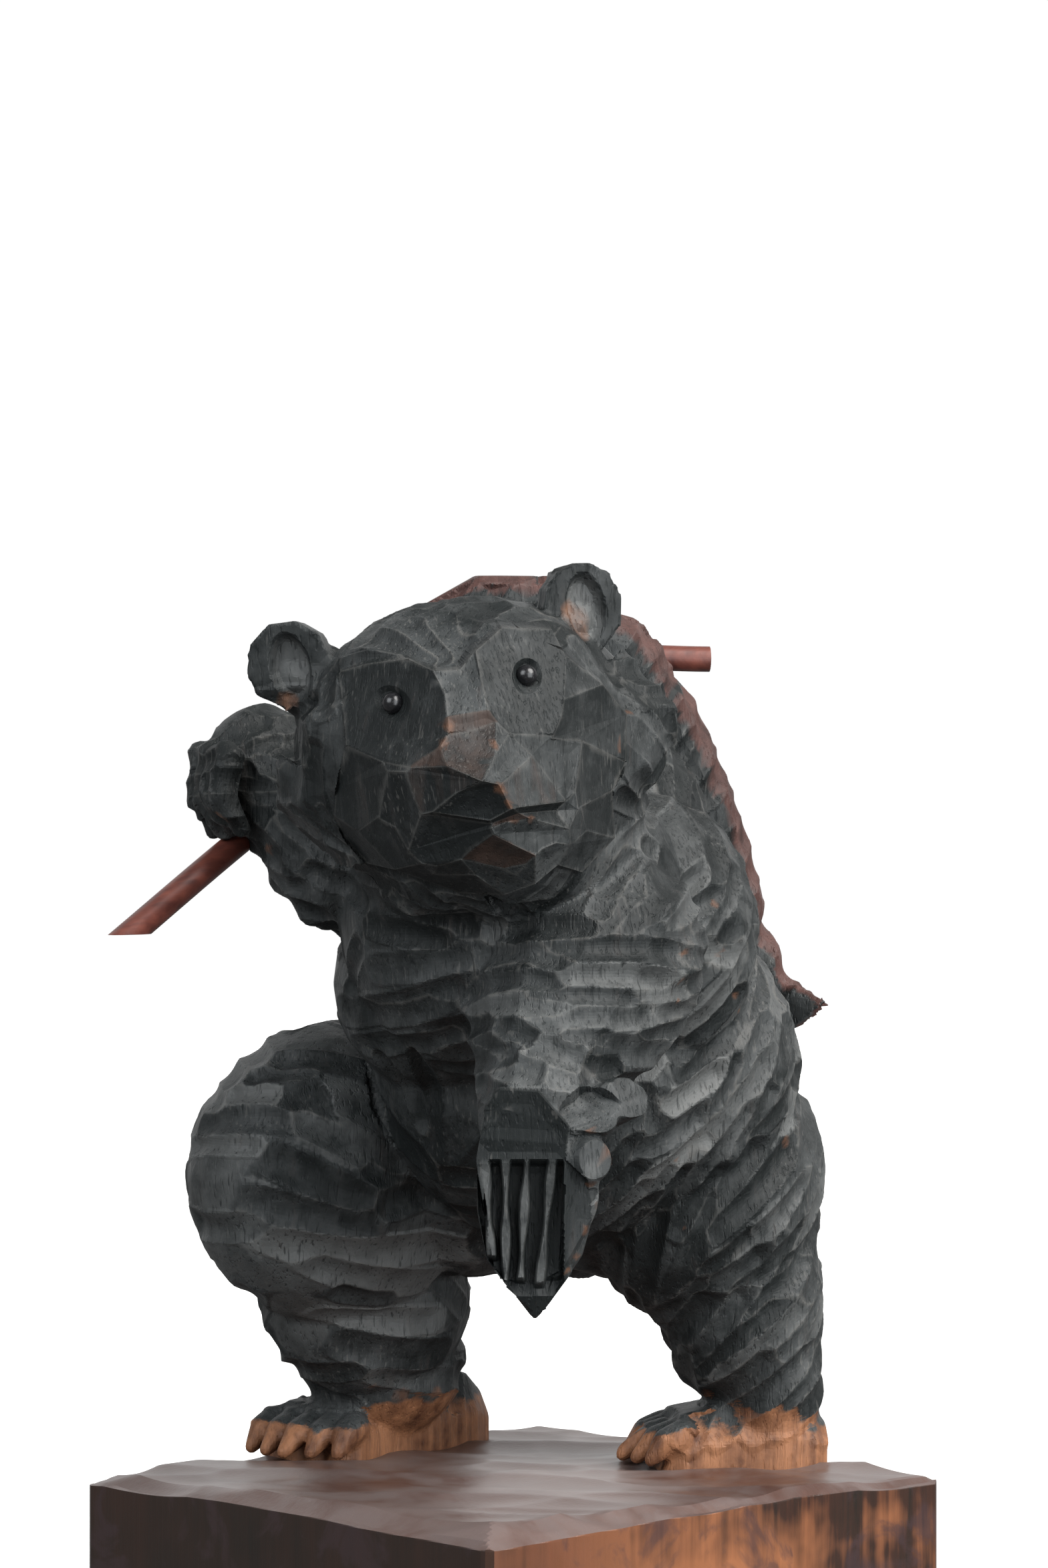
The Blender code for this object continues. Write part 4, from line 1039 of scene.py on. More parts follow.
def cutFacets(local, forward, corners, facets, low, high):
    # flat cuts seen from in front: across is first, forward second and up third
    triangles, edges = [], set()
    for number, names in enumerate(facets.values()):
        ring = names.split()
        flat = [Vector((corners[name][0], corners[name][2], 0)) for name in ring]
        for one, two, three in tessellate_polygon([flat]):
            triangles.append((number, ring[one], ring[two], ring[three]))
        for one, two in zip(ring, ring[1:] + ring[:1]):
            edges.add(tuple(sorted((one, two))))
    near = np.flatnonzero((local > low).all(axis=1) & (local < high).all(axis=1) & (forward > -0.6))
    flat = local[near][:, (0, 2)]
    nearest = np.full(len(near), 99.0)
    moved = flat.copy()
    for one, two in sorted(edges):
        start, end = corners[one][[0, 2]], corners[two][[0, 2]]
        step = end - start
        share = np.clip((flat - start) @ step / (step @ step), 0, 1)
        onEdge = start + share[:, None] * step
        distance = np.linalg.norm(flat - onEdge, axis=1)
        closer = (distance < nearest) & (distance < face["edgeReach"])
        moved[closer] = onEdge[closer]
        nearest = np.minimum(nearest, distance)
    depth = np.full(len(near), np.nan)
    within = np.full(len(near), -1)
    planes = []
    for names in facets.values():
        ring = np.array([corners[name] for name in names.split()])
        planes.append(np.linalg.lstsq(np.c_[ring[:, (0, 2)], np.ones(len(ring))], ring[:, 1], rcond=None)[0])
    for number, *names in triangles:
        a, b, c = (corners[name] for name in names)
        toB, toC = b[[0, 2]] - a[[0, 2]], c[[0, 2]] - a[[0, 2]]
        size = toB[0] * toC[1] - toB[1] * toC[0]
        if abs(size) < 1e-6:
            continue
        offset = moved - a[[0, 2]]
        shareB = (offset[:, 0] * toC[1] - offset[:, 1] * toC[0]) / size
        shareC = (offset[:, 1] * toB[0] - offset[:, 0] * toB[1]) / size
        inside = (shareB > -1e-3) & (shareC > -1e-3) & (shareB + shareC < 1 + 1e-3)
        onFacet = a[1] + shareB * (b[1] - a[1]) + shareC * (c[1] - a[1])
        onPlane = moved @ planes[number][:2] + planes[number][2]
        depth[inside] = (onFacet + (onPlane - onFacet) * face["flatness"])[inside]
        within[inside] = number
    reached = ~np.isnan(depth) & (np.abs(depth - local[near][:, 1]) < face["depthReach"])
    chosen = near[reached]
    dished = np.where(nearest < face["edgeReach"], 0, nearest)[reached]
    local[chosen, 0] = moved[reached, 0]
    local[chosen, 2] = moved[reached, 1]
    local[chosen, 1] = depth[reached] - face["dish"] * np.clip(dished / 2.6, 0, 1)
    cut = np.zeros(len(local), dtype=bool)
    cut[chosen] = True
    edge = np.zeros(len(local))
    edge[chosen] = np.clip(1 - dished / 0.7, 0, 1)
    which = np.full(len(local), -1)
    which[chosen] = within[reached]
    return local, cut, edge, which


def carvePaw(places, normals):
    # the paw's flat cuts, from corners seen in the photograph
    out, side, up = np.array(paw["face"]), np.array(paw["side"]), np.array((0, 0, 1))
    axes = np.array((side, out, up)).T
    corners = {}
    for name, (x, y, depth) in paw["seenCorners"].items():
        spot = seenOnPlane(x, y, pawPoint(depth, 0, 0), Vector(paw["face"]))
        corners[name] = (np.array(spot) - np.array(paw["place"])) @ axes
    local = (places - np.array(paw["place"])) @ axes
    local, cut = cutFacets(local, normals @ out, corners, paw["facets"], *paw["reachBox"])[:2]
    places[cut] = np.array(paw["place"]) + local[cut] @ axes.T
    return places, cut.astype(float)


def hollowEars(places):
    # a long narrow scoop in each ear
    hollow = np.zeros(len(places))
    axes = np.array(headAxes())
    for place, shift in zip(head["ears"], head["earShifts"]):
        facing = np.array(earFacing(place))
        offset = places - np.array(headPoint(*place)) - shift * axes[:, 0]
        lift = offset @ facing
        aside = (offset @ axes[:, 0]) / head["earHollow"][0]
        above = (offset @ axes[:, 2]) / head["earHollow"][1]
        dish = np.clip(1 - aside ** 2 - above ** 2, 0, 1)
        inside = (lift > -4) & (lift < 7) & (dish > 0)
        places[inside] -= (head["earDepth"] * np.minimum(dish[inside] * 2.2, 1))[:, None] * facing
        hollow[inside] = np.clip(dish[inside] * 3, 0, 1)
    return places, hollow


def hollowEyes(places):
    forward = np.array(headAxes().col[1])
    for spot in head["eyes"]:
        offset = places - np.array(headPoint(*spot))
        lift = offset @ forward
        flat = np.linalg.norm(offset - lift[:, None] * forward, axis=1)
        inside = (np.abs(lift) < 6) & (flat < head["eyeHollow"])
        dish = np.clip((1 - flat / head["eyeHollow"]) * 2.5, 0, 1)
        places[inside] -= (head["eyeDepth"] * dish[inside])[:, None] * forward
    return places


def flattenPads(places):
    # the knife has left a flat face on each round pad of the wrist
    for (place, radii), direction in zip(paw["pads"], paw["padFaces"]):
        facing = np.array(Vector(direction).normalized())
        offset = places - np.array(pawPoint(*place))
        over = offset @ facing - paw["padLevel"] * radii[2]
        inside = (over > 0) & (np.linalg.norm(offset, axis=1) < 1.2 * radii[0])
        places[inside] -= over[inside, None] * facing
    return places


def carveClaws(places, normals):
    # the ground round the four claws is cut away, so that they stand up
    offset = places - np.array(paw["place"])
    across = offset @ np.array(paw["side"])
    out = offset @ np.array(paw["face"])
    level = places[:, 2]
    standing = np.zeros(len(places))
    for number, (root, tip, tipLevel) in enumerate(paw["claws"]):
        down = np.clip((paw["clawRoot"] - level) / (paw["clawRoot"] - tipLevel), 0, 1.2)
        half = paw["clawHalf"] + paw["clawWave"] * np.sin(9 * down + 2.1 * number)
        middle = root + (tip - root) * down
        ridge = np.clip((half - np.abs(across - middle)) / paw["clawWall"] + 0.5, 0, 1)
        standing = np.maximum(standing, ridge * np.clip((level - tipLevel) / 1.5, 0, 1))
    within = (across > paw["clawGround"][0]) & (across < paw["clawGround"][1])
    within &= (level > paw["clawFoot"]) & (level < paw["clawRoot"]) & (out > 1)
    facing = np.clip((normals @ np.array(paw["face"]) - 0.25) / 0.4, 0, 1)
    fade = np.clip((paw["clawRoot"] - level) / 1.5, 0, 1) * np.clip((level - paw["clawFoot"]) / 3, 0, 1)
    depth = paw["clawDepth"] * (1 - standing) * fade * facing
    places[within] -= depth[within, None] * np.array(paw["face"])
    claw = np.where(within, standing * fade, 0)
    # the ground between the claws is marked for painted shade
    ground = np.where(within, (1 - standing) * fade, 0)
    return places, claw, ground


def alongSalmon(places):
    # for each point: the ring number along the salmon, and how far across and outwards it lies
    frames = salmonFrames()
    best = np.full(len(places), 1e9)
    ring, across, outward = (np.zeros(len(places)) for _ in range(3))
    for number, (start, following) in enumerate(zip(frames, frames[1:])):
        step = np.array(following[0] - start[0])
        offset = places - np.array(start[0])
        share = np.clip(offset @ step / (step @ step), 0, 1)
        rest = offset - share[:, None] * step
        distance = (rest ** 2).sum(axis=1)
        nearer = distance < best
        best[nearer] = distance[nearer]
        ring[nearer] = number + share[nearer]
        across[nearer] = rest[nearer] @ np.array(start[3])
        outward[nearer] = rest[nearer] @ np.array(start[2])
    return ring, across, outward


def carveSalmon(places, normals):
    # a gill cover and the rays of the tail
    ring, across, outward = alongSalmon(places)
    onSalmon = (salmonNearness(places) < 1) & (outward > -2)
    near = onSalmon & (outward > 0)
    cut = np.zeros(len(places))
    for where, wide, deep in salmon["gills"]:
        bowed = ring + (across / 26) ** 2
        cut = np.maximum(cut, deep * np.clip(1 - np.abs(bowed - where) * 11 / wide, 0, 1))
    rays = 0.9 * np.abs(np.sin(across * 1.25)) * np.clip((ring - 8) * 2, 0, 1)
    cut = np.where(near, np.maximum(cut, rays), 0)
    return places - normals * cut[:, None], onSalmon.astype(float)


def clearChannel(places):
    # the wood stands clear of the stick
    route = np.array([np.array(point) for point in stickRoute()])
    for start, end in zip(route, route[1:]):
        step = end - start
        reach = np.linalg.norm(step) + stick["channel"]
        near = np.flatnonzero(np.abs(places - (start + end) / 2).max(axis=1) < reach)
        offset = places[near] - start
        share = np.clip(offset @ step / (step @ step), 0, 1)
        rest = offset - share[:, None] * step
        distance = np.linalg.norm(rest, axis=1)
        inside = distance < stick["channel"]
        push = rest[inside] / np.maximum(distance[inside], 1e-6)[:, None]
        places[near[inside]] += push * (stick["channel"] - distance[inside])[:, None]
    return places


def smoothRoute(points, steps):
    # a smooth curve through every point of a route
    route = []
    padded = [points[0] * 2 - points[1]] + points + [points[-1] * 2 - points[-2]]
    for p0, p1, p2, p3 in zip(padded, padded[1:], padded[2:], padded[3:]):
        for step in range(steps):
            t = step / steps
            bend = 2 * p1 + (p2 - p0) * t + (2 * p0 - 5 * p1 + 4 * p2 - p3) * t * t
            route.append((bend + (3 * p1 - p0 - 3 * p2 + p3) * t ** 3) / 2)
    return route + [points[-1]]


stick = {
    "points": [
        (-13, -107, 115), (-27, -57, 139), (-29, -22, 158), (-20, 2, 172), (-6, 22, 178), (12, 46, 178),
    ],
    "radius": 2.9,
    "channel": 3.25,
    "cutLevel": 118.5,
    "steps": 10,
    "sides": 20,
    "crease": 35,
    "dark": (0.045, 0.012, 0.010),
    "red": (0.16, 0.045, 0.03),
}


def stickRoute():
    return smoothRoute([Vector(point) for point in stick["points"]], stick["steps"])


def addAttribute(piece, name, values):
    attribute = piece.data.attributes.new(name, "FLOAT", "POINT")
    attribute.data.foreach_set("value", np.asarray(values, dtype=np.float32))


def ashAndShadeOver(places):
    # how much paler or blacker each part of the body is painted: the charring's own patches, with painted
    # light where the light falls and painted shade where the shade falls
    share = np.zeros(len(places))
    for spot, reach, value in gouges["ashesAndShade"]:
        share += value * np.exp(-((places - np.array(spot)) ** 2).sum(axis=1) / reach ** 2)
    return share


def carveFigure(piece, layout):
    refineFace(piece)
    tree = BVHTree.FromObject(layout, bpy.context.evaluated_depsgraph_get())
    strokes = layStrokes(layout, tree)
    places, normals = meshArrays(piece)
    rubbed = rubbedShare(tree, places)
    places, ridge, deepest, patch = gouge(piece, places, normals, strokes)
    places = flattenPads(places)
    places, onSalmon = carveSalmon(places, normals)
    places, hollow = hollowEars(places)
    places, onFace, tone, tan, edge = carveFace(places, normals)
    places = hollowEyes(places)
    places, onPaw = carvePaw(places, normals)
    places, claw, ground = carveClaws(places, normals)
    places = clearChannel(places)
    ridge = np.where(onFace > 0, edge * 0.8, ridge * (1 - onSalmon))
    # the charring's patches with their painted light and shade, and a random painted shade on each cut
    tone += (ashAndShadeOver(places) + patch * (1 - hollow)) * (1 - onFace) * (1 - onPaw)
    # the ear hollows go paler; the paw's cuts are painted darker, partly their charring and partly painted
    # shade under the arm; the ground between the claws gets painted shade
    tone += 0.7 * hollow - 0.9 * onPaw * (1 - claw) - 0.6 * ground
    # how deep the cuts go; the finish paints shade into the bottoms of the scoops with it
    masks = {"ridge": ridge, "salmon": onSalmon, "claw": claw, "tone": tone, "tan": tan, "rubbed": rubbed,
             "deep": np.clip(deepest / 2.4, 0, 1)}
    finer = np.clip(inMetres(places), *np.array(cadBox))
    setPlaces(piece, finer)
    print("carved with", len(strokes), "strokes")
    thin = piece.modifiers.new("thin", "DECIMATE")
    triangles = sum(len(polygon.vertices) - 2 for polygon in piece.data.polygons)
    thin.ratio = min(1, carving["triangles"] / triangles)
    applyModifiers(piece)
    tree = KDTree(len(finer))
    for number, place in enumerate(finer):
        tree.insert(place, number)
    tree.balance()
    kept = [tree.find(vert.co)[1] for vert in piece.data.vertices]
    for name, values in masks.items():
        addAttribute(piece, name, values[kept])
    print("bear thinned to", len(piece.data.polygons), "triangles")


carveFigure(carvedBear, layoutSkin)
bpy.data.objects.remove(layoutSkin)


# Shading: sockets are joined with Python expressions

class Wire:
    def __init__(self, finish, socket):
        self.finish = finish
        self.socket = socket

    def maths(self, operation, *values):
        inputs = {number: value for number, value in enumerate(values)}
        return self.finish.node("ShaderNodeMath", {"operation": operation}, inputs)

    def __add__(self, other):
        return self.maths("ADD", self, other)

    def __radd__(self, other):
        return self.maths("ADD", other, self)

    def __sub__(self, other):
        return self.maths("SUBTRACT", self, other)

    def __rsub__(self, other):
        return self.maths("SUBTRACT", other, self)

    def __mul__(self, other):
        return self.maths("MULTIPLY", self, other)

    def __rmul__(self, other):
        return self.maths("MULTIPLY", other, self)


class Finish:
    def __init__(self, name):
        self.material = bpy.data.materials.new(name)
        self.material.use_nodes = True
        self.tree = self.material.node_tree
        self.shader = self.tree.nodes["Principled BSDF"]

    def node(self, kind, settings=None, values=None, output=0):
        made = self.tree.nodes.new(kind)
        for name, value in (settings or {}).items():
            if name == "stops":
                for stop, (place, colour) in zip(made.color_ramp.elements, value):
                    stop.position = place
                    stop.color = (*colour, 1)
            else:
                setattr(made, name, value)
        for name, value in (values or {}).items():
            self.join(made.inputs[name], value)
        return Wire(self, made.outputs[output])

    def join(self, socket, value):
        if isinstance(value, Wire):
            self.tree.links.new(value.socket, socket)
        elif isinstance(value, tuple) and len(value) == 3 and len(socket.default_value) == 4:
            socket.default_value = (*value, 1)
        else:
            socket.default_value = value

    def blend(self, share, one, two, kind="MIX"):
        settings = {"data_type": "RGBA", "blend_type": kind}
        return self.node("ShaderNodeMix", settings, {0: share, 6: one, 7: two}, 2)

    def attribute(self, name):
        return self.node("ShaderNodeAttribute", {"attribute_name": name}, {}, 2)

    def spot(self):
        return self.node("ShaderNodeTexCoord", {}, {}, 3)

    def facing(self):
        return self.node("ShaderNodeNewGeometry", {}, {}, 1)

    def axis(self, vector, number):
        return self.node("ShaderNodeSeparateXYZ", {}, {"Vector": vector}, number)

    def stretched(self, scale):
        return self.node("ShaderNodeMapping", {}, {"Vector": self.spot(), "Scale": scale})

    def noise(self, where, scale, detail=4, roughness=0.55, distortion=0):
        values = {"Vector": where, "Scale": scale, "Detail": detail, "Roughness": roughness,
                  "Distortion": distortion}
        return self.node("ShaderNodeTexNoise", {}, values)

    def ramp(self, share, low, high):
        values = {"Value": share, "From Min": low, "From Max": high, "To Min": 0, "To Max": 1}
        return self.node("ShaderNodeMapRange", {"clamp": True}, values)

    def bump(self, height, distance, strength=1, below=None):
        values = {"Height": height, "Distance": distance, "Strength": strength}
        if below is not None:
            values["Normal"] = below
        return self.node("ShaderNodeBump", {}, values)

    def output(self, **values):
        for name, value in values.items():
            self.join(self.shader.inputs[name.replace("_", " ")], value)


def grainPatterns(finish):
    # the wood stands on end, so every streak of grain runs up and down
    upright = finish.stretched((1, 1, 0.06))
    return finish.noise(upright, 900, 3), finish.noise(upright, 260, 5, 0.6, 0.4)


bearFinish = {
    "char": (0.0062, 0.0080, 0.0082),
    "ash": (0.040, 0.043, 0.0435),
    "pale": (0.115, 0.117, 0.114),
    "worn": (0.085, 0.083, 0.078),
    "brown": (0.055, 0.026, 0.016),
    "bare": (0.26, 0.115, 0.055),
    "bareDark": (0.06, 0.022, 0.011),
    "fish": (0.085, 0.042, 0.036),
    "fishDark": (0.030, 0.015, 0.013),
    "roughness": 0.58,
}


def finishBear():
    finish = Finish("charred_wood")
    fine, coarse = grainPatterns(finish)
    spot = finish.spot()
    patches = finish.noise(spot, 45, 4, 0.6)
    smudge = finish.noise(spot, 170, 5, 0.65)
    specks = finish.noise(spot, 900, 2, 0.6)
    pits = finish.noise(finish.stretched((1, 1, 0.14)), 1500, 1, 0.5)
    level = finish.axis(spot, 2)
    facing = finish.facing()
    upward = finish.axis(facing, 2)
    names = ("ridge", "salmon", "claw", "rubbed", "deep", "tone", "tan")
    # one attribute brings painted shade and painted light, mixed with the charring's own paler and blacker
    # patches
    ridge, fish, claw, rubbed, deep, tone, tan = (finish.attribute(name) for name in names)
    # the charring goes paler or blacker with the painted light and shade, and painted shade darkens the
    # bottoms of the scoops
    ash = finish.ramp(patches * 0.5 + smudge * 0.5 + tone * 0.16 - deep * (1 - ridge) * 0.06, 0.38, 0.62)
    colour = finish.blend(ash, bearFinish["char"], bearFinish["ash"])
    colour = finish.blend(finish.ramp(coarse, 0.5, 0.72) * 0.3, colour, bearFinish["ash"])
    # paler patches from the painted light, the charring's own patches and the worn ridges, with painted shade
    # in the bottoms of the scoops
    pale = finish.ramp(tone + (smudge - 0.5) * 0.9 + ridge * 0.3 - deep * 0.2, 0.2, 1.2)
    colour = finish.blend(pale * 0.8, colour, bearFinish["pale"])
    worn = finish.ramp(ridge * (smudge * 0.7 + patches * 0.9), 0.4, 0.95)
    colour = finish.blend(worn * 0.75, colour, bearFinish["worn"])
    # painted highlight: the claws are painted paler, as if they caught the light
    colour = finish.blend(claw * finish.ramp(smudge, 0.25, 0.6) * 0.3, colour, bearFinish["pale"])
    dust = finish.ramp(pits, 0.63, 0.7) * finish.ramp(patches, 0.45, 0.6)
    colour = finish.blend(dust * 0.5, colour, bearFinish["worn"])
    colour = finish.blend(finish.ramp(pits, 0.36, 0.28) * 0.7, colour, bearFinish["char"])
    fishShare = finish.ramp(coarse * 0.6 + patches * 0.4, 0.38, 0.62)
    fishColour = finish.blend(fishShare, bearFinish["fishDark"], bearFinish["fish"])
    colour = finish.blend(fish, colour, fishColour)
    bareStreaks = finish.ramp(coarse * 0.6 + smudge * 0.4, 0.36, 0.6)
    bareColour = finish.blend(bareStreaks, bearFinish["bareDark"], bearFinish["bare"])
    tanShare = finish.ramp(tan + (coarse - 0.5) * 0.9, 0.1, 0.8) * 0.75
    colour = finish.blend(tanShare, colour, bearFinish["brown"])
    patch = finish.ramp(rubbed * 0.5 + smudge * 0.4 + coarse * 0.25 + ridge * 0.1, 0.55, 0.85)
    colour = finish.blend(patch * 0.6, colour, finish.blend(0.5, bareColour, bearFinish["brown"]))
    line = level + (patches - 0.5) * 0.012 + (smudge - 0.5) * 0.006 + upward * 0.005
    bareShare = 1 - finish.ramp(line, 0.0472, 0.0486)
    colour = finish.blend(bareShare * 0.95, colour, bareColour)
    bump = finish.bump(fine, 0.00012, 0.5)
    bump = finish.bump(smudge, 0.00035, 0.4, bump)
    bump = finish.bump(specks, 0.0001, 0.4, bump)
    bump = finish.bump(finish.ramp(pits, 0.32, 0.42), 0.0003, 0.5, bump)
    bump = finish.bump(coarse, 0.0005, 0.5, bump)
    rough = bearFinish["roughness"] + (smudge - 0.5) * 0.35 + deep * 0.06 - ash * 0.08
    finish.output(Base_Color=colour, Roughness=rough, Normal=bump, Specular_IOR_Level=0.24)
    return finish.material


plinth = {
    "red": (0.07, 0.023, 0.013),
    "orange": (0.26, 0.10, 0.042),
    "dark": (0.013, 0.0085, 0.006),
    "purple": (0.035, 0.019, 0.021),
    "topSheenColour": (0.125, 0.095, 0.088),
    "topDark": (0.075, 0.036, 0.027),
    "cuts": 112,
    "edgeFade": 5,
    "scoops": 60,
    "scoopDepth": 1.7,
    "scoopSeed": 5,
    # which corner, and how deep it is pared
    "cornerCuts": [(-1, -1, 2.5), (1, -1, 1.2), (1, 1, 2.5), (-1, 1, 3)],
    "edgeCut": (1.2, 2.6),
    "edgeLean": (0.5, 0.9),
    "edgeTilt": (-0.04, 0.04),
    "edgeSpots": (-0.85, -0.45, 0, 0.4, 0.85),
    "cutSeed": 8,
    "crease": 14,
}


def finishPlinth():
    finish = Finish("plinth_wood")
    fine, coarse = grainPatterns(finish)
    spot = finish.spot()
    patches = finish.noise(spot, 22, 4, 0.6)
    stain = finish.noise(spot, 60, 5, 0.6, 0.6)
    facing = finish.facing()
    east = finish.axis(facing, 0)
    north = finish.axis(facing, 1)
    upward = finish.axis(facing, 2)
    front = finish.ramp(0 - north, 0.3, 0.8)
    redShare = finish.ramp(coarse * 0.4 + patches * 0.6, 0.36, 0.62)
    colour = finish.blend(redShare, plinth["dark"], plinth["red"])
    depthwise = finish.axis(spot, 1)
    # orange patches kept to the lit east side and nearer its front: partly the wood's own orange, partly
    # painted light
    litSideOrange = finish.ramp(patches + coarse * 0.25, 0.52, 0.68) * finish.ramp(east, 0.2, 0.8)
    litSideOrange = litSideOrange * (finish.ramp(depthwise, -0.055, 0.0) * 0.75 + 0.25)
    colour = finish.blend(litSideOrange * 0.85, colour, plinth["orange"])
    # painted shade: the faces that look to the front, away from the light, are painted dark
    colour = finish.blend(front * 0.75, colour, plinth["dark"])
    colour = finish.blend(finish.ramp(stain, 0.52, 0.6) * 0.6, colour, plinth["purple"])
    # the top is painted paler: partly its own purple-brown, partly a painted sheen
    topShare = finish.ramp(stain * 0.5 + patches * 0.5, 0.38, 0.56)
    topSheenColour = finish.blend(topShare, plinth["topDark"], plinth["topSheenColour"])
    colour = finish.blend(finish.ramp(upward, 0.45, 0.85) * 0.85, colour, topSheenColour)
    bump = finish.bump(fine, 0.00012, 0.5)
    bump = finish.bump(stain, 0.0004, 0.3, bump)
    finish.output(Base_Color=colour, Roughness=0.36 + (stain - 0.5) * 0.3, Normal=bump)
    return finish.material


def finishStick():
    finish = Finish("red_stick")
    spot = finish.spot()
    fibres = finish.noise(finish.stretched((1, 0.12, 0.5)), 700, 4)
    stain = finish.noise(spot, 120, 4)
    share = finish.ramp(fibres * 0.5 + stain * 0.5, 0.36, 0.64)
    colour = finish.blend(share, stick["dark"], stick["red"])
    bump = finish.bump(fibres, 0.00015, 0.6)
    finish.output(Base_Color=colour, Roughness=0.45 + (stain - 0.5) * 0.2, Normal=bump)
    return finish.material


beads = {
    "radius": 2.2,
    "segments": 40,
    "rings": 24,
    "glass": (0.006, 0.006, 0.007),
    "dust": (0.03, 0.03, 0.033),
}


def finishBead():
    finish = Finish("black_bead")
    spot = finish.spot()
    dust = finish.noise(spot, 1500, 3)
    colour = finish.blend(finish.ramp(dust, 0.55, 0.8) * 0.5, beads["glass"], beads["dust"])
    finish.output(Base_Color=colour, Roughness=0.24 + finish.ramp(dust, 0.5, 0.8) * 0.2)
    return finish.material


def dress(piece, material, slot, *nodes):
    piece.data.materials.clear()
    piece.data.materials.append(material)
    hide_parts(*nodes)
    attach(piece, "root")


# The plinth: a sawn block, scooped across the top and pared along its edges

def makePlinth():
    pickNone()
    size = Vector((block["plinthWidth"], block["plinthDepth"], block["plinthHeight"]))
    bpy.ops.mesh.primitive_cube_add(size=1, location=(0, 0, size.z / 2), scale=size)
    piece = bpy.context.object
    piece.name = "hewn_plinth"
    bpy.ops.object.transform_apply(location=True, rotation=True, scale=True)
    bpy.ops.object.mode_set(mode="EDIT")
    bpy.ops.mesh.select_all(action="SELECT")
    bpy.ops.mesh.subdivide(number_cuts=plinth["cuts"])
    bpy.ops.object.mode_set(mode="OBJECT")
    places = meshArrays(piece)[0]
    fade = np.clip((places[:, 2] - size.z + plinth["edgeFade"]) / plinth["edgeFade"], 0, 1)
    scoops = plinthScoops(places, size) * fade
    for point, normal in plinthCuts(size):
        over = np.clip((places - np.array(point)) @ np.array(normal), 0, None)
        places -= over[:, None] * np.array(normal)
    places[:, 2] -= scoops
    setPlaces(piece, places * block["metre"])
    pickOnly(piece)
    bpy.ops.object.shade_smooth_by_angle(angle=math.radians(plinth["crease"]))
    return piece


def plinthScoops(places, size):
    chooser = random.Random(plinth["scoopSeed"])
    scoops = np.zeros(len(places))
    for _ in range(plinth["scoops"]):
        spot = np.array((chooser.uniform(-0.5, 0.5) * size.x, chooser.uniform(-0.5, 0.5) * size.y))
        angle = math.radians(chooser.uniform(20, 60))
        along = np.array((math.cos(angle), math.sin(angle)))
        offset = places[:, :2] - spot
        u = (offset @ along) / chooser.uniform(16, 30)
        v = (offset @ np.array((-along[1], along[0]))) / chooser.uniform(8, 13)
        scoop = chooser.uniform(0.6, 1) * plinth["scoopDepth"] * np.clip(1 - u * u - v * v, 0, 1)
        scoops = np.maximum(scoops, scoop)
    return scoops


def plinthCuts(size):
    # planes that pare the standing corners and the top edges
    chooser = random.Random(plinth["cutSeed"])
    cuts = []
    for xSide, ySide, depth in plinth["cornerCuts"]:
        normal = Vector((xSide, ySide * chooser.uniform(0.8, 1.2), 0)).normalized()
        cuts.append((Vector((xSide * size.x / 2, ySide * size.y / 2, 0)) - normal * depth, normal))
    for side in (Vector((0, -1, 0)), Vector((1, 0, 0)), Vector((0, 1, 0)), Vector((-1, 0, 0))):
        run = side.cross(Vector((0, 0, 1)))
        half = abs(side.x) * size.x / 2 + abs(side.y) * size.y / 2
        reach = abs(run.x) * size.x / 2 + abs(run.y) * size.y / 2
        for share in plinth["edgeSpots"]:
            normal = side * chooser.uniform(*plinth["edgeLean"]) + Vector((0, 0, 1))
            normal = (normal + run * chooser.uniform(*plinth["edgeTilt"])).normalized()
            depth = chooser.uniform(*plinth["edgeCut"]) * (0.7 if side.x + side.y > 0 else 1)
            edge = side * half + run * reach * share + Vector((0, 0, size.z))
            cuts.append((edge - normal * depth, normal))
    return cuts


# The stick: a whittled shoot along a bent route, its tip sliced off level

def makeStick():
    pickNone()
    route = [Vector(inMetres(point)) for point in stickRoute()]
    curve = bpy.data.curves.new("stick_line", "CURVE")
    curve.dimensions = "3D"
    curve.bevel_depth = stick["radius"] * block["metre"]
    curve.bevel_resolution = stick["sides"] // 4
    curve.use_fill_caps = True
    spline = curve.splines.new("POLY")
    spline.points.add(len(route) - 1)
    for slot, point in zip(spline.points, route):
        slot.co = (*point, 1)
    piece = bpy.data.objects.new("whittled_stick", curve)
    bpy.context.scene.collection.objects.link(piece)
    pickOnly(piece)
    bpy.ops.object.convert(target="MESH")
    piece = bpy.context.object
    bpy.ops.object.mode_set(mode="EDIT")
    bpy.ops.mesh.select_all(action="SELECT")
    bpy.ops.mesh.remove_doubles(threshold=1e-6)
    level = inMetres((0, 0, stick["cutLevel"]))
    bpy.ops.mesh.bisect(plane_co=level, plane_no=(0, 0, -1), clear_outer=True, use_fill=True)
    bpy.ops.mesh.select_all(action="SELECT")
    bpy.ops.mesh.normals_make_consistent(inside=False)
    bpy.ops.object.mode_set(mode="OBJECT")
    bpy.ops.object.shade_smooth_by_angle(angle=math.radians(stick["crease"]))
    return piece


# The eyes: round black beads, sunk into their sockets

def makeBead(name, spot):
    pickNone()
    middle = inMetres(headPoint(*spot))
    radius = beads["radius"] * block["metre"]
    bpy.ops.mesh.primitive_uv_sphere_add(
        segments=beads["segments"], ring_count=beads["rings"], radius=radius, location=middle)
    bead = bpy.context.object
    bead.name = name
    bpy.ops.object.transform_apply(location=True, rotation=True, scale=True)
    bpy.ops.object.shade_smooth()
    return bead


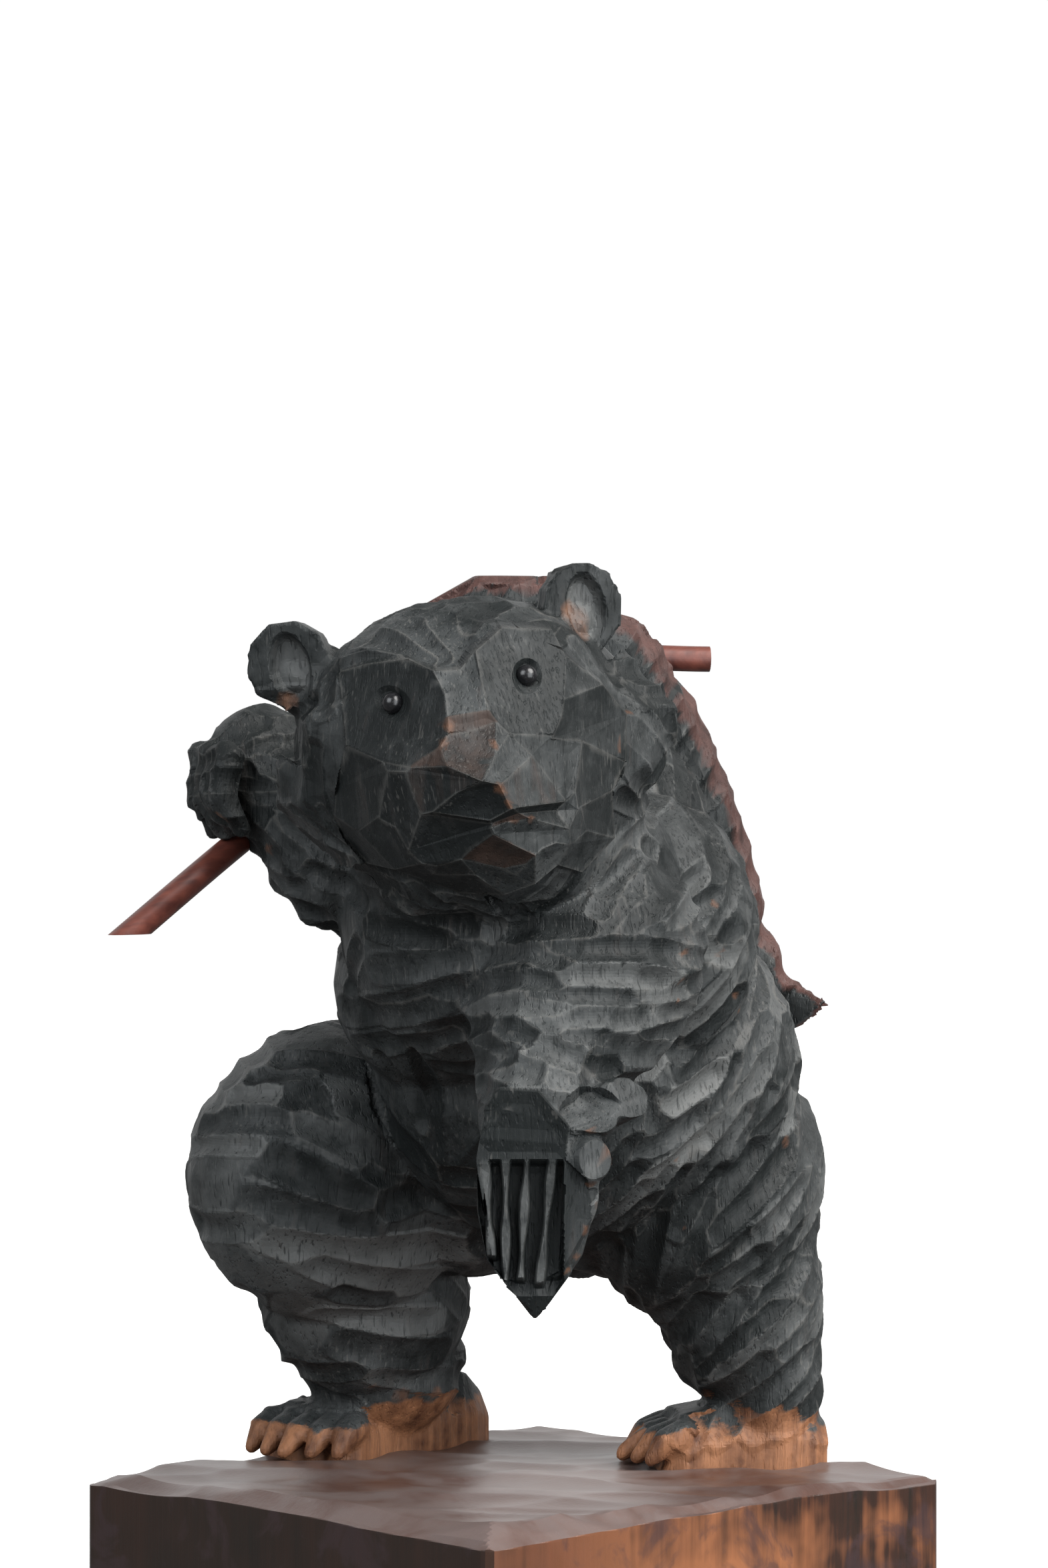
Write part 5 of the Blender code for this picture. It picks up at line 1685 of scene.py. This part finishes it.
dress(carvedBear, finishBear(), "charred_wood", "bear")
hewnPlinth = makePlinth()
dress(hewnPlinth, finishPlinth(), "charred_wood", "bear")
whittledStick = makeStick()
dress(whittledStick, finishStick(), "red_stick", "carrying_stick")
beadFinish = finishBead()
eyePlaces = (
    ("left_bead", "left_eye", head["eyes"][0]),
    ("right_bead", "right_eye", head["eyes"][1]),
)
for name, node, spot in eyePlaces:
    dress(makeBead(name, spot), beadFinish, "eye_glass", node)
print("pieces dressed")


# The stage: a pale floor and white card, soft light from the upper right and the camera at the photograph's
# angle

studio = {
    "floorSize": 60,
    "floorColour": (0.88, 0.88, 0.88),
    "backdrop": (1, 1, 1),
    "fillStrength": 0.24,
    "sunStrength": 5.6,
    "sunSpread": 48,
    "sunFrom": (0.68, 0.2, 0.72),
    "sunColour": (1, 0.985, 0.96),
    # soft lamps: name, place and power
    "lamps": [("front_fill", (0.1, -1.45, 0.95), 21), ("side_fill", (1.3, -0.15, 0.3), 17)],
    "fillSize": 1.1,
    "fillColour": (0.93, 0.97, 1),
    "cardDistance": 3.4,
    "cameraPlace": (0.8625, -0.8189, 0.188),
    "cameraLook": (-0.724, 0.69, 0),
    "focalPixels": 8120,
    "frameHeight": 2346,
    "sensor": 36,
}


def makeStage():
    pickNone()
    bpy.ops.mesh.primitive_plane_add(size=studio["floorSize"], location=(0, 0, 0))
    floor = bpy.context.object
    floor.name = "pale_floor"
    finish = Finish("pale_floor")
    spot = finish.spot()
    cloud = finish.noise(spot, 3, 2)
    finish.output(Base_Color=finish.blend(cloud * 0.1, studio["floorColour"], (1, 1, 1)), Roughness=0.8)
    floor.data.materials.append(finish.material)
    floor.visible_diffuse = False  # the white floor throws no light up under the bear
    floor.visible_glossy = False


def makeCard():
    # a white card far behind, which the plinth's top and the bear's edges catch
    pickNone()
    look = Vector(studio["cameraLook"])
    bpy.ops.mesh.primitive_plane_add(size=1, location=look * studio["cardDistance"] + Vector((0, 0, 1.6)))
    card = bpy.context.object
    card.name = "white_card"
    card.scale = (9, 3.2, 1)
    card.rotation_euler = (-look).to_track_quat("Z", "Y").to_euler()
    bpy.ops.object.transform_apply(location=True, rotation=True, scale=True)
    finish = Finish("white_card")
    finish.output(Base_Color=(0, 0, 0), Roughness=1.0, Emission_Color=(1, 1, 1), Emission_Strength=1.0)
    card.data.materials.append(finish.material)


def makeFill(name, place, power):
    light = bpy.data.lights.new(name, "AREA")
    light.energy = power
    light.size = studio["fillSize"]
    light.color = studio["fillColour"]
    lamp = bpy.data.objects.new(name, light)
    lamp.location = place
    lamp.rotation_euler = Vector(place).to_track_quat("Z", "Y").to_euler()
    bpy.context.scene.collection.objects.link(lamp)


def makeSun():
    light = bpy.data.lights.new("soft_sun", "SUN")
    light.energy = studio["sunStrength"]
    light.angle = math.radians(studio["sunSpread"])
    light.color = studio["sunColour"]
    lamp = bpy.data.objects.new("soft_sun", light)
    lamp.rotation_euler = Vector(studio["sunFrom"]).to_track_quat("Z", "Y").to_euler()
    bpy.context.scene.collection.objects.link(lamp)


def makeWorld():
    # white behind the bear, and a weaker fill on it
    world = bpy.data.worlds.new("studio")
    world.use_nodes = True
    tree = world.node_tree
    backdrop = tree.nodes["Background"]
    backdrop.inputs["Color"].default_value = (*studio["backdrop"], 1)
    sight = tree.nodes.new("ShaderNodeLightPath")
    share = tree.nodes.new("ShaderNodeMapRange")
    share.inputs["To Min"].default_value = studio["fillStrength"]
    share.inputs["To Max"].default_value = 1
    tree.links.new(sight.outputs["Is Camera Ray"], share.inputs["Value"])
    tree.links.new(share.outputs[0], backdrop.inputs["Strength"])
    bpy.context.scene.world = world


def makeCamera():
    camera = bpy.data.cameras.new("camera")
    camera.sensor_fit = "VERTICAL"
    camera.sensor_height = studio["sensor"]
    camera.lens = studio["focalPixels"] / studio["frameHeight"] * studio["sensor"]
    camera.clip_end = 20
    holder = bpy.data.objects.new("camera", camera)
    holder.location = studio["cameraPlace"]
    holder.rotation_euler = Vector(studio["cameraLook"]).to_track_quat("-Z", "Y").to_euler()
    bpy.context.scene.collection.objects.link(holder)
    bpy.context.scene.camera = holder


makeStage()
makeCard()
makeSun()
for lampName, lampPlace, lampPower in studio["lamps"]:
    makeFill(lampName, lampPlace, lampPower)
makeCamera()
makeWorld()
bpy.context.scene.view_settings.view_transform = "Standard"
